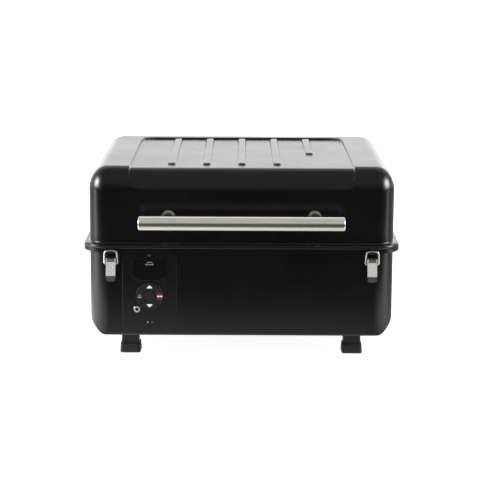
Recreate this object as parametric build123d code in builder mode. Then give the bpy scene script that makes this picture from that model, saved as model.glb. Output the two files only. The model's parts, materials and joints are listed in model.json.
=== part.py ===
"""Portable table-top pellet smoker grill, as an assembly of separate pieces.

Frame: millimetres, +X to the user's right, +Y to the back, +Z up. The origin is the bottom centre
of the whole object's box, on the plane that the rubber feet stand on.

A drawn-steel body on four feet carries a deck plate. The deck holds the firebox pan on the right
and the pellet hopper on the left. A motor turns an auger that pushes pellets from the hopper
through a tube into the fire pot. A stamped lid swings on two rear hinges and is held shut by two
draw latches.
"""

import os
from math import cos, radians, sin, tan

from build123d import *

os.makedirs("parts", exist_ok=True)

# ---------------------------------------------------------------- driving dimensions
BODY_W = 517.0  # outer width of body and lid, without the rim
BODY_D = 436.0  # outer depth of body and lid, without the rim
FOOT_H = 41.0  # underside of the body above the ground
SEAM_Z = 194.0  # top of the body's rim
LID_TOP = 330.0
SHEET = 1.5  # body and lid sheet steel
THIN = 1.2  # sheet of the parts inside
CORNER_R = 36.0  # upright corners, in plan
LID_EDGE_R = 30.0  # top edge of the lid
RIM = 10.0  # how far both rims stand out of the walls
RIM_H = 6.5  # height of each rolled rim
GAP = 0.3  # room between pieces that move or drop in

HANDLE_REACH = 58.0  # tube axis from the lid's front face
HANDLE_R = 12.5
HINGE_OUT = 15.5  # hinge axis from the back wall
KNUCKLE_R = 5.0

# The body's centre sits behind the origin, because the handle reaches further than the hinges.
Y_C = (HANDLE_REACH + HANDLE_R - HINGE_OUT - KNUCKLE_R) / 2
FRONT = Y_C - BODY_D / 2
BACK = Y_C + BODY_D / 2
SIDE = BODY_W / 2
HINGE_Z = SEAM_Z + 0.2
DECK_Z = 180.0  # underside of the deck plate
DECK_TOP = DECK_Z + SHEET

# Sketch planes. On FACE_F and FACE_B a sketch is seen from outside with z up, and a positive
# extrusion stands out of the wall. On a side plane x is the distance out of the wall, y is z.
FACE_F = Plane(origin=(0, FRONT, 0), x_dir=(1, 0, 0), z_dir=(0, -1, 0))
FACE_B = Plane(origin=(0, BACK, 0), x_dir=(-1, 0, 0), z_dir=(0, 1, 0))


def side_front(x):
    """Section plane at x, square to the front wall."""
    return Plane(origin=(x, FRONT, 0), x_dir=(0, -1, 0), z_dir=(-1, 0, 0))


def side_back(x):
    """Section plane at x, square to the back wall."""
    return Plane(origin=(x, BACK, 0), x_dir=(0, 1, 0), z_dir=(1, 0, 0))


def across(x, y=0.0, z=0.0):
    """Plane at x for things that lie along X: sketch x is world y, sketch y is world z."""
    return Plane(origin=(x, y, z), x_dir=(0, 1, 0), z_dir=(1, 0, 0))


def write(piece, node):
    """Labels a finished piece and writes it as its own node."""
    piece.label = node
    export_step(piece, f"parts/{node}.step")


# ---------------------------------------------------------------- body shell
CHAMFER_X = 20.0  # the bottom corners are cut back this far, seen from the front
CHAMFER_Z = 25.0
BOTTOM_R = 7.0  # front and back bottom edges
CORNER_BEND_R = 27.0  # bends at both ends of each cut-back corner


def tub(inset, top):
    """Solid form of the body, drawn in by inset, up to top."""
    low = FOOT_H + inset
    with BuildPart() as form:
        with BuildSketch(Plane.XY.offset(low)):
            with Locations((0, Y_C)):
                RectangleRounded(BODY_W - 2 * inset, BODY_D - 2 * inset, CORNER_R - inset)
        extrude(amount=top - low)
        with BuildSketch(FACE_F.offset(RIM)) as section:
            with BuildLine():
                w = SIDE - inset
                cut = CHAMFER_X - inset * 0.4
                Polyline(
                    (-w, top), (-w, low + CHAMFER_Z), (-w + cut, low), (w - cut, low),
                    (w, low + CHAMFER_Z), (w, top), close=True,
                )
            make_face()
            fillet(section.vertices().filter_by(lambda v: v.Y < low + CHAMFER_Z + 1), CORNER_BEND_R - inset)
        extrude(amount=-(BODY_D + 2 * RIM), mode=Mode.INTERSECT)
        with BuildSketch(Plane.YZ.offset(-SIDE - RIM)) as profile:
            with BuildLine():
                a, b = FRONT + inset, BACK - inset
                Polyline((a, top), (a, low), (b, low), (b, top), close=True)
            make_face()
            fillet(profile.vertices().group_by(Axis.Y)[0], BOTTOM_R - inset)
        extrude(amount=BODY_W + 2 * RIM, mode=Mode.INTERSECT)
    return form.part


def rim_ring(z, height, outer, inner):
    """Rounded ring around the shell. outer and inner are distances out of the wall."""
    with BuildPart() as ring:
        with BuildSketch(Plane.XY.offset(z)):
            with Locations((0, Y_C)):
                RectangleRounded(BODY_W + 2 * outer, BODY_D + 2 * outer, CORNER_R + outer)
                RectangleRounded(
                    BODY_W + 2 * inner, BODY_D + 2 * inner, CORNER_R + inner, mode=Mode.SUBTRACT
                )
        extrude(amount=height)
    return ring.part


PANEL_X = -155.5  # centre line of the control panel
PANEL_W = 92.0
PANEL_Z = (52.0, 185.5)
PANEL_LIP = 4.0
POWER_X = -190.0  # power inlet on the back wall
POWER_Z = 104.0
POWER_SIZE = (28.0, 52.0)
COVER_X = (-222.0, -128.0)  # bottom cover
COVER_HALF_Y = 98.0
COVER_LAP = 9.0
FOOT_X = 192.0
FOOT_SETBACK = 45.0  # front wall to the front of the leg
LEG = (30.0, 26.0)
FOOT_YS = (FRONT + FOOT_SETBACK + LEG[1] / 2, BACK - FOOT_SETBACK - LEG[1] / 2)
FOOT_SCREW_DY = 21.0
SCREW_R = 2.5
LATCH_X = 220.0
LATCH_RIVET_Z = (147.0, 157.0)
HINGE_X = 150.0
HINGE_W = 50.0
HINGE_RIVET_DX = 15.0
BODY_RIVET_Z = (151.0, 163.0)
LID_RIVET_Z = (216.0, 230.0)
RIVET_R = 1.5
VENT = (3.6, 34.0)  # width and height of a louvre slot

foot_centres = [(x, y) for y in FOOT_YS for x in (-FOOT_X, FOOT_X)]
foot_screw_points = [
    (x, y + s * FOOT_SCREW_DY) for x, y in foot_centres for s in (-1, 1)
]
cover_mid_x = (COVER_X[0] + COVER_X[1]) / 2
cover_w = COVER_X[1] - COVER_X[0]
cover_screw_points = [
    (x, Y_C + s * (COVER_HALF_Y - COVER_LAP / 2))
    for x in (COVER_X[0] + 12, COVER_X[1] - 12)
    for s in (-1, 1)
]
hinge_rivet_xs = [x + s * HINGE_RIVET_DX for x in (-HINGE_X, HINGE_X) for s in (-1, 1)]

body_outer = tub(0, SEAM_Z)
body_inner = tub(SHEET, SEAM_Z + 1)
body_rim = rim_ring(SEAM_Z - RIM_H, RIM_H, RIM, -SHEET)
body_rim_hollow = rim_ring(SEAM_Z - RIM_H - 1, RIM_H + 1 - SHEET, RIM - SHEET, 0)

with BuildPart() as lower_shell:
    add(body_outer)
    add(body_rim)
    add(body_rim_hollow, mode=Mode.SUBTRACT)
    add(body_inner, mode=Mode.SUBTRACT)
    # control panel opening in the front wall
    with BuildSketch(FACE_F.offset(1)):
        with Locations((PANEL_X, sum(PANEL_Z) / 2)):
            Rectangle(PANEL_W - 2 * PANEL_LIP, PANEL_Z[1] - PANEL_Z[0] - 2 * PANEL_LIP)
    extrude(amount=-(SHEET + 2), mode=Mode.SUBTRACT)
    # power inlet opening and hinge rivet holes in the back wall
    with BuildSketch(FACE_B.offset(1)):
        with Locations((-POWER_X, POWER_Z)):
            Rectangle(*POWER_SIZE)
        with Locations([(x, z) for x in hinge_rivet_xs for z in BODY_RIVET_Z]):
            Circle(RIVET_R)
    extrude(amount=-(SHEET + 2), mode=Mode.SUBTRACT)
    # latch rivet holes
    with BuildSketch(FACE_F.offset(1)):
        with Locations([(x, z) for x in (-LATCH_X, LATCH_X) for z in LATCH_RIVET_Z]):
            Circle(RIVET_R)
    extrude(amount=-(SHEET + 2), mode=Mode.SUBTRACT)
    # air intake louvres in the left wall
    with BuildSketch(Plane.YZ.offset(-SIDE - 1)):
        with Locations((Y_C + 96, 122)):
            with GridLocations(9.5, 0, 9, 1):
                SlotOverall(VENT[1], VENT[0], rotation=90)
    extrude(amount=SHEET + 2, mode=Mode.SUBTRACT)
    # access opening, foot screw holes and cover screw holes in the floor
    with BuildSketch(Plane.XY.offset(FOOT_H - 1)):
        with Locations((cover_mid_x, Y_C)):
            RectangleRounded(cover_w - 2 * COVER_LAP, 2 * (COVER_HALF_Y - COVER_LAP), 6)
        with Locations(foot_screw_points + cover_screw_points):
            Circle(SCREW_R)
    extrude(amount=SHEET + 2, mode=Mode.SUBTRACT)
write(lower_shell.part, "lower_shell")

# ---------------------------------------------------------------- feet
LEG_WALL = 2.0
BOOT_H = 16.0
BOOT_FLOOR = 3.0


def foot_bracket(foot_x, foot_y):
    """Square tube leg with its top plate."""
    with BuildPart() as bracket:
        with BuildSketch(Plane.XY.offset(FOOT_H - LEG_WALL)):
            with Locations((foot_x, foot_y)):
                RectangleRounded(LEG[0], 2 * FOOT_SCREW_DY + 16, 4)
        extrude(amount=LEG_WALL)
        with BuildSketch(Plane.XY.offset(BOOT_FLOOR)):
            with Locations((foot_x, foot_y)):
                RectangleRounded(*LEG, 3)
                RectangleRounded(LEG[0] - 2 * LEG_WALL, LEG[1] - 2 * LEG_WALL, 1.5, mode=Mode.SUBTRACT)
        extrude(amount=FOOT_H - LEG_WALL - BOOT_FLOOR)
        with BuildSketch(Plane.XY.offset(FOOT_H - LEG_WALL - 1)):
            with Locations([(foot_x, foot_y + s * FOOT_SCREW_DY) for s in (-1, 1)]):
                Circle(SCREW_R)
        extrude(amount=LEG_WALL + 2, mode=Mode.SUBTRACT)
    return bracket.part


def foot_boot(foot_x, foot_y):
    """Rubber boot that widens to the ground, with a socket for the leg."""
    with BuildPart() as boot:
        with BuildSketch(Plane.XY):
            with Locations((foot_x, foot_y)):
                RectangleRounded(LEG[0] + 6, LEG[1] + 12, 5)
        with BuildSketch(Plane.XY.offset(BOOT_H)):
            with Locations((foot_x, foot_y)):
                RectangleRounded(LEG[0] + 4, LEG[1] + 5, 4)
        loft()
        fillet(boot.edges().group_by(Axis.Z)[0], 2.0)
        fillet(boot.edges().group_by(Axis.Z)[-1], 0.8)
        with BuildSketch(Plane.XY.offset(BOOT_FLOOR)):
            with Locations((foot_x, foot_y)):
                RectangleRounded(LEG[0] + 0.2, LEG[1] + 0.2, 3.1)
        extrude(amount=BOOT_H, mode=Mode.SUBTRACT)
    return boot.part


write(Compound(children=[foot_bracket(*centre) for centre in foot_centres]), "foot_brackets")
write(Compound(children=[foot_boot(*centre) for centre in foot_centres]), "foot_boots")

# ---------------------------------------------------------------- bottom cover and chassis screws
with BuildPart() as bottom_cover:
    with BuildSketch(Plane.XY.offset(FOOT_H - SHEET)):
        with Locations((cover_mid_x, Y_C)):
            RectangleRounded(cover_w, 2 * COVER_HALF_Y, 8)
            with GridLocations(0, 10, 1, 9):
                SlotOverall(60, VENT[0], mode=Mode.SUBTRACT)
        with Locations(cover_screw_points):
            Circle(SCREW_R, mode=Mode.SUBTRACT)
    extrude(amount=SHEET)
write(bottom_cover.part, "bottom_cover")

SCREW_HEAD = (4.6, 2.6)  # radius and height
NUT = (4.4, 4.0)


def chassis_screw(x, y, seat_z):
    """Pan-head screw from below with its nut inside the body. seat_z is under the clamped stack."""
    with BuildPart() as screw:
        with BuildSketch(Plane.XY.offset(seat_z - SCREW_HEAD[1])):
            with Locations((x, y)):
                Circle(SCREW_HEAD[0])
        extrude(amount=SCREW_HEAD[1])
        fillet(screw.edges().group_by(Axis.Z)[0], 1.2)
        with BuildSketch(Plane.XY.offset(seat_z)):
            with Locations((x, y)):
                Circle(SCREW_R)
        extrude(amount=FOOT_H + SHEET + NUT[1] + 2 - seat_z)
        with BuildSketch(Plane.XY.offset(FOOT_H + SHEET)):
            with Locations((x, y)):
                RegularPolygon(NUT[0], 6)
        extrude(amount=NUT[1])
        with BuildSketch(Plane.XY.offset(seat_z - SCREW_HEAD[1])):
            with Locations((x, y)):
                RegularPolygon(1.7, 6)
        extrude(amount=1.6, mode=Mode.SUBTRACT)
    return screw.part


foot_screws = [chassis_screw(x, y, FOOT_H - LEG_WALL) for x, y in foot_screw_points]
cover_screws = [chassis_screw(x, y, FOOT_H - SHEET) for x, y in cover_screw_points]
write(Compound(children=foot_screws + cover_screws), "chassis_screws")

# ---------------------------------------------------------------- deck plate
PAN_X = (-110.0, 246.0)  # firebox pan, outer
PAN_HALF_Y = 184.0
PAN_FLANGE = 6.0
PAN_FLOOR = 58.0
PAN_R = 14.0
pan_mid = (PAN_X[0] + PAN_X[1]) / 2
pan_w = PAN_X[1] - PAN_X[0]
BIN_X = (-238.0, -132.0)  # hopper, outer
BIN_HALF_Y = 130.0
BIN_FLANGE = 5.0
bin_mid = (BIN_X[0] + BIN_X[1]) / 2
bin_w = BIN_X[1] - BIN_X[0]
FLAP_AXIS = (-246.5, 186.4)  # hopper lid hinge, x and z
FLAP_PIN_R = 1.5
FLAP_KNUCKLE_R = 3.2
FLAP_KNUCKLES = (62.0, 82.0)  # along Y from the middle
DECK_LUGS = (83.0, 91.0)

with BuildPart() as deck_plate:
    with BuildSketch(Plane.XY.offset(DECK_Z)):
        with Locations((0, Y_C)):
            deck_inset = SHEET + GAP
            RectangleRounded(BODY_W - 2 * deck_inset, BODY_D - 2 * deck_inset, CORNER_R - deck_inset)
        with Locations((pan_mid, Y_C)):
            RectangleRounded(pan_w + 2, 2 * PAN_HALF_Y + 2, PAN_R + 1, mode=Mode.SUBTRACT)
        with Locations((bin_mid, Y_C)):
            Rectangle(bin_w + 2, 2 * BIN_HALF_Y + 2, mode=Mode.SUBTRACT)
    extrude(amount=SHEET)
    # stiffening flange turned down along the edge
    with BuildSketch(Plane.XY.offset(DECK_Z - 10)):
        with Locations((0, Y_C)):
            RectangleRounded(BODY_W - 2 * deck_inset, BODY_D - 2 * deck_inset, CORNER_R - deck_inset)
            lip_inset = deck_inset + THIN
            RectangleRounded(
                BODY_W - 2 * lip_inset, BODY_D - 2 * lip_inset, CORNER_R - lip_inset, mode=Mode.SUBTRACT
            )
    extrude(amount=10)
    # clearance behind the control panel
    with BuildSketch(Plane.XY.offset(DECK_Z - 11)):
        with Locations((PANEL_X, FRONT)):
            Rectangle(PANEL_W, 40)
    extrude(amount=14, mode=Mode.SUBTRACT)
    # lugs that carry the hopper lid's pin
    for side in (-1, 1):
        lug_mid = Y_C + side * sum(DECK_LUGS) / 2
        with BuildSketch(Plane(origin=(0, lug_mid, 0), x_dir=(1, 0, 0), z_dir=(0, -1, 0))):
            with Locations((FLAP_AXIS[0], (DECK_TOP - 0.5 + FLAP_AXIS[1]) / 2)):
                Rectangle(2 * FLAP_KNUCKLE_R, FLAP_AXIS[1] - DECK_TOP + 0.5)
            with Locations(FLAP_AXIS):
                Circle(FLAP_KNUCKLE_R)
                Circle(FLAP_PIN_R + 0.06, mode=Mode.SUBTRACT)
        extrude(amount=(DECK_LUGS[1] - DECK_LUGS[0]) / 2, both=True)
write(deck_plate.part, "deck_plate")

# ---------------------------------------------------------------- firebox pan
AUGER_Z = 86.0
TUBE_R = 23.0
TUBE_WALL = 1.5
POT_X = pan_mid
POT_R = 42.0
IGNITER_DY = -31.0
IGNITER_Z = 72.0
IGNITER_R = 4.5
FAN_DY = 114.0
FAN_Z = 100.0
FAN_SIZE = 60.0
FAN_X = (-127.5, -111.0)
PROBE_DY = -62.0
PROBE_Z = 158.5
PROBE_R = 2.5
LEDGE_Z = 162.0
TRAY_Z = 142.0  # underside of the drip tray


def pan_room():
    """Room inside the firebox pan."""
    with BuildPart() as room:
        with BuildSketch(Plane.XY.offset(PAN_FLOOR + THIN)):
            with Locations((pan_mid, Y_C)):
                RectangleRounded(pan_w - 2 * THIN, 2 * (PAN_HALF_Y - THIN), PAN_R - THIN)
        extrude(amount=DECK_TOP + 2 * THIN - PAN_FLOOR)
        fillet(room.edges().group_by(Axis.Z)[0], 7.8)
    return room.part


pan_hollow = pan_room()

with BuildPart() as firebox_pan:
    with BuildSketch(Plane.XY.offset(PAN_FLOOR)):
        with Locations((pan_mid, Y_C)):
            RectangleRounded(pan_w, 2 * PAN_HALF_Y, PAN_R)
    extrude(amount=DECK_TOP + THIN - PAN_FLOOR)
    fillet(firebox_pan.edges().group_by(Axis.Z)[0], 9)
    with BuildSketch(Plane.XY.offset(DECK_TOP)):
        with Locations((pan_mid, Y_C)):
            RectangleRounded(
                pan_w + 2 * PAN_FLANGE, 2 * (PAN_HALF_Y + PAN_FLANGE), PAN_R + PAN_FLANGE
            )
    extrude(amount=THIN)
    add(pan_hollow, mode=Mode.SUBTRACT)
    # ledges for the grate along the front and back walls
    with BuildSketch(Plane.XY.offset(LEDGE_Z)):
        for side in (-1, 1):
            with Locations((pan_mid, Y_C + side * (PAN_HALF_Y - 6.5))):
                Rectangle(300, 12)
    extrude(amount=2)
    # ledges for the drip tray along the left and right walls
    with BuildSketch(Plane.XY.offset(TRAY_Z - THIN)):
        for wall_x in (PAN_X[0] + 7, PAN_X[1] - 7):
            with Locations((wall_x, Y_C)):
                Rectangle(13, 240)
    extrude(amount=THIN)
    # holes in the left wall: auger tube, igniter, air from the fan, temperature probe
    with BuildSketch(across(PAN_X[0] - 1, Y_C)):
        with Locations((0, AUGER_Z)):
            Circle(TUBE_R + 0.05)
        with Locations((IGNITER_DY, IGNITER_Z)):
            Circle(IGNITER_R)
        with Locations((FAN_DY, FAN_Z)):
            with GridLocations(8, 0, 5, 1):
                SlotOverall(44, VENT[0], rotation=90)
        with Locations((PROBE_DY, PROBE_Z)):
            Circle(PROBE_R)
    extrude(amount=THIN + 5, mode=Mode.SUBTRACT)
write(firebox_pan.part, "firebox_pan")

# ---------------------------------------------------------------- fire pot, igniter and baffle
POT_WALL = 2.5
POT_BASE = PAN_FLOOR + THIN
POT_TOP = 116.0
BAFFLE_SIZE = (180.0, 150.0)
BAFFLE_Z = 122.0

with BuildPart() as fire_pot:
    with BuildSketch(Plane.XY.offset(POT_BASE)):
        with Locations((POT_X, Y_C)):
            Circle(POT_R)
    extrude(amount=POT_TOP - POT_BASE)
    with BuildSketch(Plane.XY.offset(POT_TOP - 3)):
        with Locations((POT_X, Y_C)):
            Circle(POT_R + 3)
    extrude(amount=3)
    with BuildSketch(Plane.XY.offset(POT_BASE + 2)):
        with Locations((POT_X, Y_C)):
            Circle(POT_R - POT_WALL)
    extrude(amount=POT_TOP, mode=Mode.SUBTRACT)
    # mouth for the auger tube and hole for the igniter, both from the left
    with BuildSketch(across(0, Y_C)):
        with Locations((0, AUGER_Z)):
            Circle(TUBE_R)
        with Locations((IGNITER_DY, IGNITER_Z)):
            Circle(IGNITER_R)
    extrude(amount=POT_X, mode=Mode.SUBTRACT)
    # air holes around the front, right and back
    for row_z in (70.0, 88.0):
        for step in range(9):
            bearing = -100 + 25 * step
            centre = (POT_X, Y_C, row_z)
            ray = (cos(radians(bearing)), sin(radians(bearing)), 0)
            with BuildSketch(Plane(origin=centre, z_dir=ray)):
                Circle(1.8)
            extrude(amount=POT_R + 5, mode=Mode.SUBTRACT)
write(fire_pot.part, "fire_pot")

with BuildPart() as igniter_rod:
    with BuildSketch(across(PAN_X[0] - 12, Y_C)):
        with Locations((IGNITER_DY, IGNITER_Z)):
            Circle(IGNITER_R)
    extrude(amount=POT_X - 24 - PAN_X[0] + 12)
    with BuildSketch(across(PAN_X[0] - 16, Y_C)):
        with Locations((IGNITER_DY, IGNITER_Z)):
            RegularPolygon(7.5, 6)
    extrude(amount=16)
write(igniter_rod.part, "igniter_rod")

with BuildPart() as heat_baffle:
    with BuildSketch(Plane.XY.offset(BAFFLE_Z)):
        with Locations((POT_X, Y_C)):
            RectangleRounded(*BAFFLE_SIZE, 8)
    extrude(amount=2)
    with BuildSketch(Plane.XY.offset(POT_BASE)):
        with Locations((POT_X, Y_C)):
            with GridLocations(BAFFLE_SIZE[0] - 16, BAFFLE_SIZE[1] - 30, 2, 2):
                Rectangle(2, 22)
    extrude(amount=BAFFLE_Z - POT_BASE)
write(heat_baffle.part, "heat_baffle")

with BuildPart() as temperature_probe:
    with BuildSketch(across(PAN_X[0] - 9, Y_C)):
        with Locations((PROBE_DY, PROBE_Z)):
            Circle(PROBE_R)
    extrude(amount=62)
    with BuildSketch(across(PAN_X[0] - 9, Y_C)):
        with Locations((PROBE_DY, PROBE_Z)):
            RegularPolygon(6, 6)
    extrude(amount=9)
write(temperature_probe.part, "temperature_probe")

# ---------------------------------------------------------------- drip tray and grease cup
TRAY_X = (PAN_X[0] + 4.0, PAN_X[1] - 4.0)
TRAY_HALF_Y = 169.0
TRAY_RIM = 11.0
DRAIN = (222.0, Y_C - 140.0)
CUP_R = 19.0

with BuildPart() as drip_tray:
    with BuildSketch(Plane.XY.offset(TRAY_Z)):
        with Locations((pan_mid, Y_C)):
            RectangleRounded(TRAY_X[1] - TRAY_X[0], 2 * TRAY_HALF_Y, 8)
    extrude(amount=TRAY_RIM)
    with BuildSketch(Plane.XY.offset(TRAY_Z + THIN)):
        with Locations((pan_mid, Y_C)):
            RectangleRounded(TRAY_X[1] - TRAY_X[0] - 2 * THIN, 2 * (TRAY_HALF_Y - THIN), 7)
    extrude(amount=TRAY_RIM, mode=Mode.SUBTRACT)
    # gutter along the right side, with a drain spout at its front end
    with BuildSketch(Plane.XY.offset(TRAY_Z - 5)):
        with Locations((DRAIN[0] - 6, Y_C)):
            RectangleRounded(26, 2 * TRAY_HALF_Y - 8, 6)
    extrude(amount=5)
    with BuildSketch(Plane.XY.offset(TRAY_Z - 14)):
        with Locations((DRAIN[0] - 4, DRAIN[1])):
            Circle(8)
    extrude(amount=12)
    with BuildSketch(Plane.XY.offset(TRAY_Z - 5 + THIN)):
        with Locations((DRAIN[0] - 6, Y_C)):
            RectangleRounded(26 - 2 * THIN, 2 * TRAY_HALF_Y - 8 - 2 * THIN, 5)
    extrude(amount=6, mode=Mode.SUBTRACT)
    with BuildSketch(Plane.XY.offset(TRAY_Z - 15)):
        with Locations((DRAIN[0] - 4, DRAIN[1])):
            Circle(8 - THIN)
    extrude(amount=14, mode=Mode.SUBTRACT)
write(drip_tray.part, "drip_tray")

with BuildPart() as grease_cup:
    with BuildSketch(Plane.XY.offset(POT_BASE)):
        with Locations((DRAIN[0] - 4, DRAIN[1])):
            Circle(CUP_R)
    extrude(amount=64)
    fillet(grease_cup.edges().group_by(Axis.Z)[0], 3)
    with BuildSketch(Plane.XY.offset(POT_BASE + 62.5)):
        with Locations((DRAIN[0] - 4, DRAIN[1])):
            Circle(CUP_R + 1.5)
    extrude(amount=1.5)
    with BuildSketch(Plane.XY.offset(POT_BASE + THIN)):
        with Locations((DRAIN[0] - 4, DRAIN[1])):
            Circle(CUP_R - THIN)
    extrude(amount=64, mode=Mode.SUBTRACT)
write(grease_cup.part, "grease_cup")

# ---------------------------------------------------------------- cooking grate
GRATE_W = 340.0
GRATE_D = 354.0
FRAME_ROD_R = 3.0
FRAME_ROD_Z = LEDGE_Z + 2 + FRAME_ROD_R
BAR_R = 2.4
BAR_Z = FRAME_ROD_Z + FRAME_ROD_R + BAR_R - 1.2
BAR_COUNT = 24

with BuildPart() as grill_grate:
    with BuildSketch(Plane.XY.offset(FRAME_ROD_Z - FRAME_ROD_R)):
        with Locations((pan_mid, Y_C)):
            RectangleRounded(GRATE_W, GRATE_D, 12)
            RectangleRounded(GRATE_W - 4 * FRAME_ROD_R, GRATE_D - 4 * FRAME_ROD_R, 7, mode=Mode.SUBTRACT)
    extrude(amount=2 * FRAME_ROD_R)
    fillet(grill_grate.edges().filter_by(lambda e: abs(e.tangent_at(0.5).Z) < 0.1), 2.2)
    bar_pitch = (GRATE_W - 2 * FRAME_ROD_R) / (BAR_COUNT - 1)
    with BuildSketch(Plane(origin=(pan_mid, Y_C, 0), x_dir=(1, 0, 0), z_dir=(0, -1, 0))):
        with Locations((0, BAR_Z)):
            with GridLocations(bar_pitch, 0, BAR_COUNT, 1):
                Circle(BAR_R)
    extrude(amount=GRATE_D / 2 - 2, both=True)
    # two cross rods under the bars
    with BuildSketch(across(pan_mid, Y_C)):
        with Locations((-58, FRAME_ROD_Z), (58, FRAME_ROD_Z)):
            Circle(FRAME_ROD_R)
    extrude(amount=GRATE_W / 2 - 3, both=True)
write(grill_grate.part, "grill_grate")

# ---------------------------------------------------------------- pellet hopper
BIN_SLOPE_TOP = 172.0
BIN_SLOPE_BASE = 116.0
THROAT_X = (-182.0, -140.0)
THROAT_HALF_Y = 19.0
throat_mid = (THROAT_X[0] + THROAT_X[1]) / 2
throat_w = THROAT_X[1] - THROAT_X[0]


def bin_form(inset, top, low):
    """Hopper form drawn in by inset: straight rim, four slopes, straight throat."""
    with BuildPart() as form:
        with BuildSketch(Plane.XY.offset(BIN_SLOPE_TOP)):
            with Locations((bin_mid, Y_C)):
                Rectangle(bin_w - 2 * inset, 2 * (BIN_HALF_Y - inset))
        extrude(amount=top - BIN_SLOPE_TOP)
        with BuildSketch(Plane.XY.offset(BIN_SLOPE_TOP)):
            with Locations((bin_mid, Y_C)):
                Rectangle(bin_w - 2 * inset, 2 * (BIN_HALF_Y - inset))
        with BuildSketch(Plane.XY.offset(BIN_SLOPE_BASE)):
            with Locations((throat_mid, Y_C)):
                Rectangle(throat_w - 2 * inset, 2 * (THROAT_HALF_Y - inset))
        loft()
        with BuildSketch(Plane.XY.offset(low)):
            with Locations((throat_mid, Y_C)):
                Rectangle(throat_w - 2 * inset, 2 * (THROAT_HALF_Y - inset))
        extrude(amount=BIN_SLOPE_BASE - low)
    return form.part


bin_outer = bin_form(0, DECK_TOP + THIN, AUGER_Z + 12)
bin_inner = bin_form(THIN, DECK_TOP + 2 * THIN, AUGER_Z)

with BuildPart() as hopper_bin:
    add(bin_outer)
    with BuildSketch(Plane.XY.offset(DECK_TOP)):
        with Locations((bin_mid, Y_C)):
            RectangleRounded(bin_w + 2 * BIN_FLANGE, 2 * (BIN_HALF_Y + BIN_FLANGE), 4)
    extrude(amount=THIN)
    add(bin_inner, mode=Mode.SUBTRACT)
    with BuildSketch(across(THROAT_X[0] - 2, Y_C)):
        with Locations((0, AUGER_Z)):
            Circle(TUBE_R)
    extrude(amount=throat_w + 4, mode=Mode.SUBTRACT)
write(hopper_bin.part, "hopper_bin")

GUARD_WIRE_R = 1.5
GUARD_Z = 177.0
with BuildPart() as hopper_guard:
    with BuildSketch(Plane(origin=(bin_mid, Y_C, GUARD_Z), x_dir=(1, 0, 0), z_dir=(0, -1, 0))):
        with GridLocations(17, 0, 6, 1):
            Circle(GUARD_WIRE_R)
    extrude(amount=BIN_HALF_Y - THIN, both=True)
    with BuildSketch(across(bin_mid, Y_C, GUARD_Z - 2.4)):
        with GridLocations(26, 0, 10, 1):
            Circle(GUARD_WIRE_R)
    extrude(amount=bin_w / 2 - THIN, both=True)
write(hopper_guard.part, "hopper_guard")

# ---------------------------------------------------------------- hopper lid
FLAP_Z = DECK_TOP + THIN + GAP
FLAP_X = (-241.5, -125.0)
FLAP_HALF_Y = BIN_HALF_Y + 6
SIDE_VIEW = Plane(origin=(0, Y_C, 0), x_dir=(1, 0, 0), z_dir=(0, -1, 0))

with BuildPart() as hopper_lid:
    with BuildSketch(Plane.XY.offset(FLAP_Z)):
        with Locations(((FLAP_X[0] + FLAP_X[1]) / 2, Y_C)):
            RectangleRounded(FLAP_X[1] - FLAP_X[0], 2 * FLAP_HALF_Y, 6)
    extrude(amount=SHEET)
    for side in (-1, 1):
        knuckle_mid = side * sum(FLAP_KNUCKLES) / 2
        with BuildSketch(SIDE_VIEW.offset(-knuckle_mid)):
            with BuildLine():
                Polyline(
                    (FLAP_AXIS[0], FLAP_Z), (FLAP_X[0] + 5, FLAP_Z), (FLAP_X[0] + 5, FLAP_Z + SHEET),
                    (FLAP_AXIS[0] + 2, FLAP_Z + SHEET), (FLAP_AXIS[0], FLAP_AXIS[1]), close=True,
                )
            make_face()
            with Locations(FLAP_AXIS):
                Circle(FLAP_KNUCKLE_R)
                Circle(FLAP_PIN_R, mode=Mode.SUBTRACT)
        extrude(amount=(FLAP_KNUCKLES[1] - FLAP_KNUCKLES[0]) / 2, both=True)
write(hopper_lid.part, "hopper_lid")


def flap_pin(side):
    """Pin through a hopper lid knuckle and its deck lug."""
    with BuildPart() as pin:
        with BuildSketch(SIDE_VIEW.offset(-side * (FLAP_KNUCKLES[0] - 1))):
            with Locations(FLAP_AXIS):
                Circle(FLAP_PIN_R)
        extrude(amount=-side * (DECK_LUGS[1] + 2 - FLAP_KNUCKLES[0] + 1))
        with BuildSketch(SIDE_VIEW.offset(-side * (DECK_LUGS[1] + 0.4))):
            with Locations(FLAP_AXIS):
                Circle(FLAP_PIN_R + 1)
        extrude(amount=-side * 1.6)
    return pin.part


write(Compound(children=[flap_pin(-1), flap_pin(1)]), "hopper_lid_pins")

with BuildPart() as hopper_knob:
    with BuildSketch(Plane.XY.offset(FLAP_Z + SHEET)):
        with Locations((FLAP_X[1] - 10, Y_C)):
            RectangleRounded(9, 54, 4)
    extrude(amount=5)
    fillet(hopper_knob.edges().group_by(Axis.Z)[-1], 1.8)
write(hopper_knob.part, "hopper_knob")

# ---------------------------------------------------------------- auger drive
TUBE_X = (-203.0, POT_X - 34.0)
END_PLATE = 3.0
SHAFT_R = 6.0
FLIGHT_R = 20.0
FLIGHT_PITCH = 40.0
FLIGHT_TURNS = 5.5

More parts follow.
